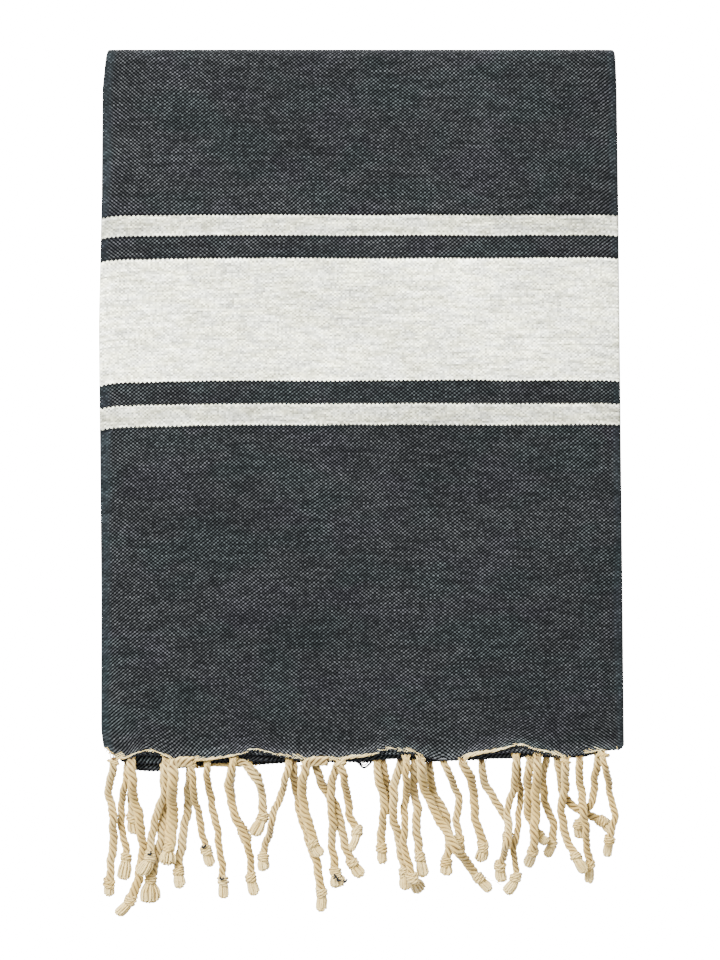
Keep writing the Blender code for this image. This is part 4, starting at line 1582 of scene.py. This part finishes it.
def make_tails(which, settings):
    """The loose ends of one fringe, and on the front one the yarn that strayed."""
    rng = shaken("loose_ends", which)
    lines = [line for laid in laid_strands()[which]
             for line in tail_lines(laid, settings.yarn_radius * TAIL_YARN, rng)]
    if which == FRONT:
        lines.append(Line(np.array(STRAY) * MM, 0.0, 0.0, settings.yarn_radius * 0.5, 0.8))
    twisted(f"{SIDES[which]}_loose_ends", lines, yarn_material(settings), "fringe",
            Plies=1, Lay=1.0, Step=1.6 * MM, Sides=5)


# ---------------------------------------------------------------- the warp ends along the hems
class Gather(NamedTuple):
    """How the warp ends of one layer's raw edge gather to their strands."""

    inside: float       # most that an end's line reaches back over or into the cloth
    above: float        # how far above the cloth's middle surface it lies there
    out: float          # how far past the raw edge the thinnest bundle lies
    lift: float         # of the bundle, above the cloth's middle surface
    spread: float       # how much of a bundle's own radius pushes it out
    flat: float         # height of a bundle as a share of its width
    # 0 golden, 1 pale, 2 cream; the lower tones of the ends under the hem are painted shade
    tone: float
    size: float         # of a yarn, beside the full size
    slant: float        # how far along the hem an end starts, for how far it starts inside


# The ends that lie under the front hem, or tucked behind a raw edge, take a darker, golden tone:
# painted shade from the cloth above them.
OVER = Gather(2.6 * MM, 0.50 * MM, -0.4 * MM, 0.30 * MM, 0.75, 0.8, 1.7, 1.0, 1.6)
SPIKED = Gather(4.6 * MM, 0.55 * MM, -1.2 * MM, -0.90 * MM, 0.4, 0.3, 1.7, 1.2, 1.1)
UNDER = Gather(1.0 * MM, 0.0 * MM, 0.2 * MM, 0.10 * MM, 0.9, 0.7, 0.3, 1.7, 1.6)
TUCKED = Gather(1.0 * MM, -0.4 * MM, -2.4 * MM, -0.80 * MM, 0.5, 0.2, 0.4, 1.0, 1.6)
UNDER_LEFT, UNDER_RIGHT = -116.0 * MM, -66.0 * MM   # where the back edge's ends lie in sight
# Sides of the front roots, left -1 and right 1, at which only the ends' starts lie over the
# hem, and those at which none of them shows.
SPIKED_SIDES = {(-122, -1), (-36, -1), (38, -1), (132, -1)}
BARE_SIDES = {(-160, -1), (38, 1), (65, -1), (132, 1), (156, 1)}
WARP_END = 0.72             # radius of a warp end along the hem, of a full yarn's
LONG_SPIKES = 0.5           # share of the ends that start well inside the cloth,
LONG, SHORT = (0.6, 1.0), (0.05, 0.25)      # and how far they and the others do, of the most
SPIKE_NEAR = (0.45, 0.75)   # share of that away from a root, and what is added beside it
SPIKE_REACH = 9.0 * MM      # how soon the ends' slanting starts shorten, away from a root
BUNDLE_STEP = 2.6 * MM      # between the points of an end that runs in a bundle
BUNDLE_END = 1.8 * MM       # how near its root the bundle turns into the strand
BUNDLE_PACKING = 0.85       # radius of a bundle, in ends' radii times their number's root
BUNDLE_LAY = 13.0 * MM      # length in which the ends turn once around their bundle
INTO_STRAND = ((0.6 * MM, 2.0 * MM), (2.6 * MM, 1.7 * MM), (5.2 * MM, 1.0 * MM))
INTO_TURN = 0.9             # radians that an end turns about the strand between those points
INTO_HIGH = 1.5 * MM        # most that it stands off the strand's middle upward


class Side(NamedTuple):
    """The warp ends on one side of a strand's root, which all gather to it."""

    laid: Laid
    edge: np.ndarray        # their panel's raw edge
    root: float
    way: int                # -1 to the left of the root, 1 to the right
    distances: np.ndarray   # from the root to each end


def gathering(which, strand, way, x):
    """How a warp end at x gathers to its strand: over the front hem, under it or unseen."""
    if strand.panel != "middle" or (which == FRONT and (strand.root, way) in BARE_SIDES):
        return TUCKED
    if which == FRONT:
        return SPIKED if (strand.root, way) in SPIKED_SIDES else OVER
    return UNDER if UNDER_LEFT < x < UNDER_RIGHT else TUCKED


def warp_end(side, x, gather, radius, rng):
    """One warp end: out of the raw edge, along it to its root, and into the strand."""
    def on_edge(at):
        return tuple(np.interp(at, side.edge[:, 0], side.edge[:, k]) for k in (1, 2))

    root, way = side.root, side.way
    y, z = on_edge(x)
    near = math.exp(-abs(x - root) / SPIKE_REACH)
    long = rng.uniform(*LONG) if rng.uniform() < LONG_SPIKES else rng.uniform(*SHORT)
    inside = gather.inside * long * (SPIKE_NEAR[0] + SPIKE_NEAR[1] * near)
    points = [(x + way * gather.slant * inside, y + inside, z + gather.above),
              (x - way * 0.5 * MM, y - gather.out, z + gather.above)]
    phase = rng.uniform(0, math.tau)
    ray = math.sqrt(rng.uniform(0.05, 1.0))
    for t in np.arange(abs(x - root) - BUNDLE_STEP, BUNDLE_END, -BUNDLE_STEP):
        ends = len(side.distances) - np.searchsorted(side.distances, t)
        bundle = radius * BUNDLE_PACKING * math.sqrt(max(ends, 1))
        y, z = on_edge(root + way * t)
        angle = phase + math.tau * t / BUNDLE_LAY
        points.append((root + way * t,
                       y - gather.out - bundle * (gather.spread + ray * math.cos(angle)),
                       z + gather.lift + bundle * gather.flat * ray * math.sin(angle)))
    turn = phase + way
    for run, off in INTO_STRAND:
        place, _, left, up = along_line(side.laid, run)
        points.append(tuple(place + left * off * math.cos(turn)
                            + up * min(off, INTO_HIGH) * math.sin(turn)))
        turn -= INTO_TURN
    return np.array(points)


def warp_sides(which, pitch):
    """The warp ends of one raw edge, by the sides of their own panels' roots."""
    laid = {line.strand: line for line in laid_strands()[which]}
    for panel in ("middle", "left flap", "right flap"):
        edge = panel_edge(which, panel)
        strands = sorted((s for s in STRANDS[which] if s.panel == panel), key=lambda s: s.root)
        roots = np.array([strand.root * MM for strand in strands])
        xs = np.arange(edge[0, 0] + pitch / 2, edge[-1, 0], pitch)
        owner = np.abs(xs[:, None] - roots).argmin(axis=1)
        for k, strand in enumerate(strands):
            for way in (-1, 1):
                mine = xs[(owner == k) & ((xs > roots[k]) == (way > 0))]
                yield Side(laid[strand], edge, roots[k], way, np.sort(np.abs(mine - roots[k])))


def warp_end_lines(which, pitch, radius):
    """All the warp ends of one raw edge."""
    rng = shaken("warp_ends", which)
    for side in warp_sides(which, pitch):
        thick = rng.uniform(0.7, 1.25)
        for distance in side.distances:
            x = side.root + side.way * distance
            gather = gathering(which, side.laid.strand, side.way, x)
            size = radius * gather.size * thick
            points = warp_end(side, x, gather, size, rng)
            tone = np.linspace(gather.tone, 0.5, len(points)) + rng.uniform(-0.7, 0.3)
            yield Line(points, 0.0, 0.0, size * rng.uniform(0.75, 1.25), tone)


def make_warp_ends(which, settings, pitch):
    """The warp ends that run along one raw edge and gather into its strands."""
    lines = list(warp_end_lines(which, pitch, settings.yarn_radius * WARP_END))
    twisted(f"{SIDES[which]}_warp_ends", lines, yarn_material(settings), "fringe",
            Plies=1, Lay=1.0, Step=1.5 * MM, Sides=4)


# ---------------------------------------------------------------- dyed yarn that lies free
LAST_WEFT = 0.42 * MM       # radius of the last weft yarn
LAST_WEFT_OUT = ((0.30, 0.45), (0.0, 0.0), (-0.05, -0.45), (0.0, 0.0))    # mm out and up

# Where a little of a lower layer's edge loops out below the hem, in millimetres.
LOOP = ((-5.5, -180.4, 8.0), (-2.0, -181.8, 8.0), (1.3, -185.0, 8.0), (4.9, -182.8, 8.0),
        (7.5, -179.5, 8.0))

LOOP_YARNS = ((1.0, 1.7), (0.70, 1.0), (0.42, 0.9))     # size of each of its yarns, and radius

# Ends of dyed yarn caught in knots: x and y in millimetres, and degrees turned.
DARK_BITS = (
    (-102.4, -236.3, 10.0),
    (-90.7, -257.1, -15.0),
    (-136.9, -240.2, 40.0),
    (-17.2, -255.8, 75.0),
    (-15.0, -258.0, -35.0),
    (-10.4, -258.6, 20.0),
)
DARK_BIT = ((-1.5, 0.9), (-0.2, -0.7), (1.4, 1.0))      # its shape, in millimetres
DARK_BIT_UP = 5.2 * MM


def last_weft_line(which, pitch):
    """The last weft yarn of one raw edge, over and under the warp, across all its folds."""
    along = lengthwise()[0 if which == FRONT else -1]
    stations = np.array([on_cloth(along, column) for column in section()])
    run = unrolled([Vector(place) for place in stations])
    runs = np.arange(0.0, run[-1], pitch / 2)
    points = np.column_stack([np.interp(runs, run, stations[:, k]) for k in range(3)])
    waves = np.array([LAST_WEFT_OUT[k % len(LAST_WEFT_OUT)] for k in range(len(runs))]) * MM
    points[:, 1] -= waves[:, 0]
    points[:, 2] += waves[:, 1]
    return Line(points, 0.0, 0.0, LAST_WEFT, 0.0)


def dark_bit_lines():
    """The few ends of dyed yarn that are caught in knots."""
    known = np.vstack([laid.points for fringe in laid_strands().values() for laid in fringe])
    for x, y, turn in DARK_BITS:
        nearest = known[np.hypot(known[:, 0] - x * MM, known[:, 1] - y * MM).argmin()]
        c, s = math.cos(math.radians(turn)), math.sin(math.radians(turn))
        yield Line(np.array([((x + a * c - b * s) * MM, (y + a * s + b * c) * MM,
                              nearest[2] + DARK_BIT_UP) for a, b in DARK_BIT]),
                   0.0, 0.0, LAST_WEFT * 1.5, 0.0)


def make_last_wefts(settings, pitch):
    """The last weft yarns of both raw edges."""
    lines = [last_weft_line(which, pitch) for which in (FRONT, BACK)]
    loop = np.array(LOOP) * MM
    top = (loop[0] + loop[-1]) / 2
    for size, thick in LOOP_YARNS:
        lines.append(Line(top + (loop - top) * size, 0.0, 0.0, LAST_WEFT * thick, 0.0))
    twisted("last_wefts", lines, dyed_material(settings), "cloth",
            Plies=1, Lay=1.0, Step=0.6 * MM, Sides=5)


def make_dark_bits(settings):
    """The dyed ends in the knots."""
    twisted("dyed_ends", list(dark_bit_lines()), dyed_material(settings), "fringe",
            Plies=1, Lay=1.0, Step=0.6 * MM, Sides=6)


# ---------------------------------------------------------------- operators
class TOWEL_OT_stage(bpy.types.Operator):
    """Set the floor, the light and the camera"""

    bl_idname = "towel.stage"
    bl_label = "Stage"
    bl_options = {"REGISTER", "UNDO"}

    def execute(self, context):
        make_stage(context.scene.towel_stage)
        return {"FINISHED"}


class TOWEL_OT_cloth(bpy.types.Operator):
    """Weave the cloth and fold it"""

    bl_idname = "towel.cloth"
    bl_label = "Woven cloth"
    bl_options = {"REGISTER", "UNDO"}

    def execute(self, context):
        make_cloth(context.scene.towel_cloth)
        return {"FINISHED"}


class TOWEL_OT_strands(bpy.types.Operator):
    """Twist the strands of both fringes"""

    bl_idname = "towel.strands"
    bl_label = "Twisted strands"
    bl_options = {"REGISTER", "UNDO"}

    def execute(self, context):
        for which in (FRONT, BACK):
            make_strands(which, context.scene.towel_fringe)
        return {"FINISHED"}


class TOWEL_OT_knots(bpy.types.Operator):
    """Tie the knots of both fringes"""

    bl_idname = "towel.knots"
    bl_label = "Knots"
    bl_options = {"REGISTER", "UNDO"}

    def execute(self, context):
        for which in (FRONT, BACK):
            make_knots(which, context.scene.towel_fringe)
        return {"FINISHED"}


class TOWEL_OT_loose_ends(bpy.types.Operator):
    """Lay out the cut yarns past the knots"""

    bl_idname = "towel.loose_ends"
    bl_label = "Loose ends"
    bl_options = {"REGISTER", "UNDO"}

    def execute(self, context):
        for which in (FRONT, BACK):
            make_tails(which, context.scene.towel_fringe)
        return {"FINISHED"}


class TOWEL_OT_warp_ends(bpy.types.Operator):
    """Gather the warp ends along both raw edges"""

    bl_idname = "towel.warp_ends"
    bl_label = "Warp ends"
    bl_options = {"REGISTER", "UNDO"}

    def execute(self, context):
        for which in (FRONT, BACK):
            make_warp_ends(which, context.scene.towel_fringe,
                           context.scene.towel_cloth.warp_pitch)
        return {"FINISHED"}


class TOWEL_OT_dyed_yarn(bpy.types.Operator):
    """Lay the last weft yarns, and the dyed ends in the knots"""

    bl_idname = "towel.dyed_yarn"
    bl_label = "Dyed yarn"
    bl_options = {"REGISTER", "UNDO"}

    def execute(self, context):
        make_last_wefts(context.scene.towel_fringe, context.scene.towel_cloth.warp_pitch)
        make_dark_bits(context.scene.towel_fringe)
        return {"FINISHED"}


class TOWEL_OT_declare(bpy.types.Operator):
    """Look up the pieces of the fringes by name"""

    bl_idname = "towel.declare"
    bl_label = "Folded sheet"
    bl_options = {"REGISTER", "UNDO"}

    def execute(self, context):
        fringes = [bpy.data.objects[f"{side}_{part}"] for side in SIDES.values()
                   for part in ("strands", "knots", "loose_ends", "warp_ends")]
        fringes += [bpy.data.objects[name] for name in ("last_wefts", "dyed_ends")]
        return {"FINISHED"}


OPERATORS = (TOWEL_OT_stage, TOWEL_OT_cloth, TOWEL_OT_strands, TOWEL_OT_knots,
             TOWEL_OT_loose_ends, TOWEL_OT_warp_ends, TOWEL_OT_dyed_yarn, TOWEL_OT_declare)


class TOWEL_PT_panel(bpy.types.Panel):
    """The towel's pieces and their settings"""

    bl_label = "Hammam towel"
    bl_idname = "TOWEL_PT_panel"
    bl_space_type = "VIEW_3D"
    bl_region_type = "UI"
    bl_category = "Towel"

    def draw(self, context):
        for group in (context.scene.towel_stage, context.scene.towel_cloth,
                      context.scene.towel_fringe):
            box = self.layout.box()
            for name in group.__annotations__:
                box.prop(group, name)
        for operator in OPERATORS:
            self.layout.operator(operator.bl_idname)


SETTINGS = {"towel_stage": StageSettings, "towel_cloth": ClothSettings,
            "towel_fringe": FringeSettings}
CLASSES = (*SETTINGS.values(), *OPERATORS, TOWEL_PT_panel)


def register():
    for item in CLASSES:
        bpy.utils.register_class(item)
    for name, group in SETTINGS.items():
        setattr(bpy.types.Scene, name, PointerProperty(type=group))


def unregister():
    for name in SETTINGS:
        delattr(bpy.types.Scene, name)
    for item in reversed(CLASSES):
        bpy.utils.unregister_class(item)


def main():
    register()
    for operator in OPERATORS:
        group, name = operator.bl_idname.split(".")
        getattr(getattr(bpy.ops, group), name)()
    boxes = {"solids": SOLID_BOX, "looks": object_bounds()}
    {name: [list(corner) for corner in box] for name, box in boxes.items()}


if __name__ == "__main__":
    main()
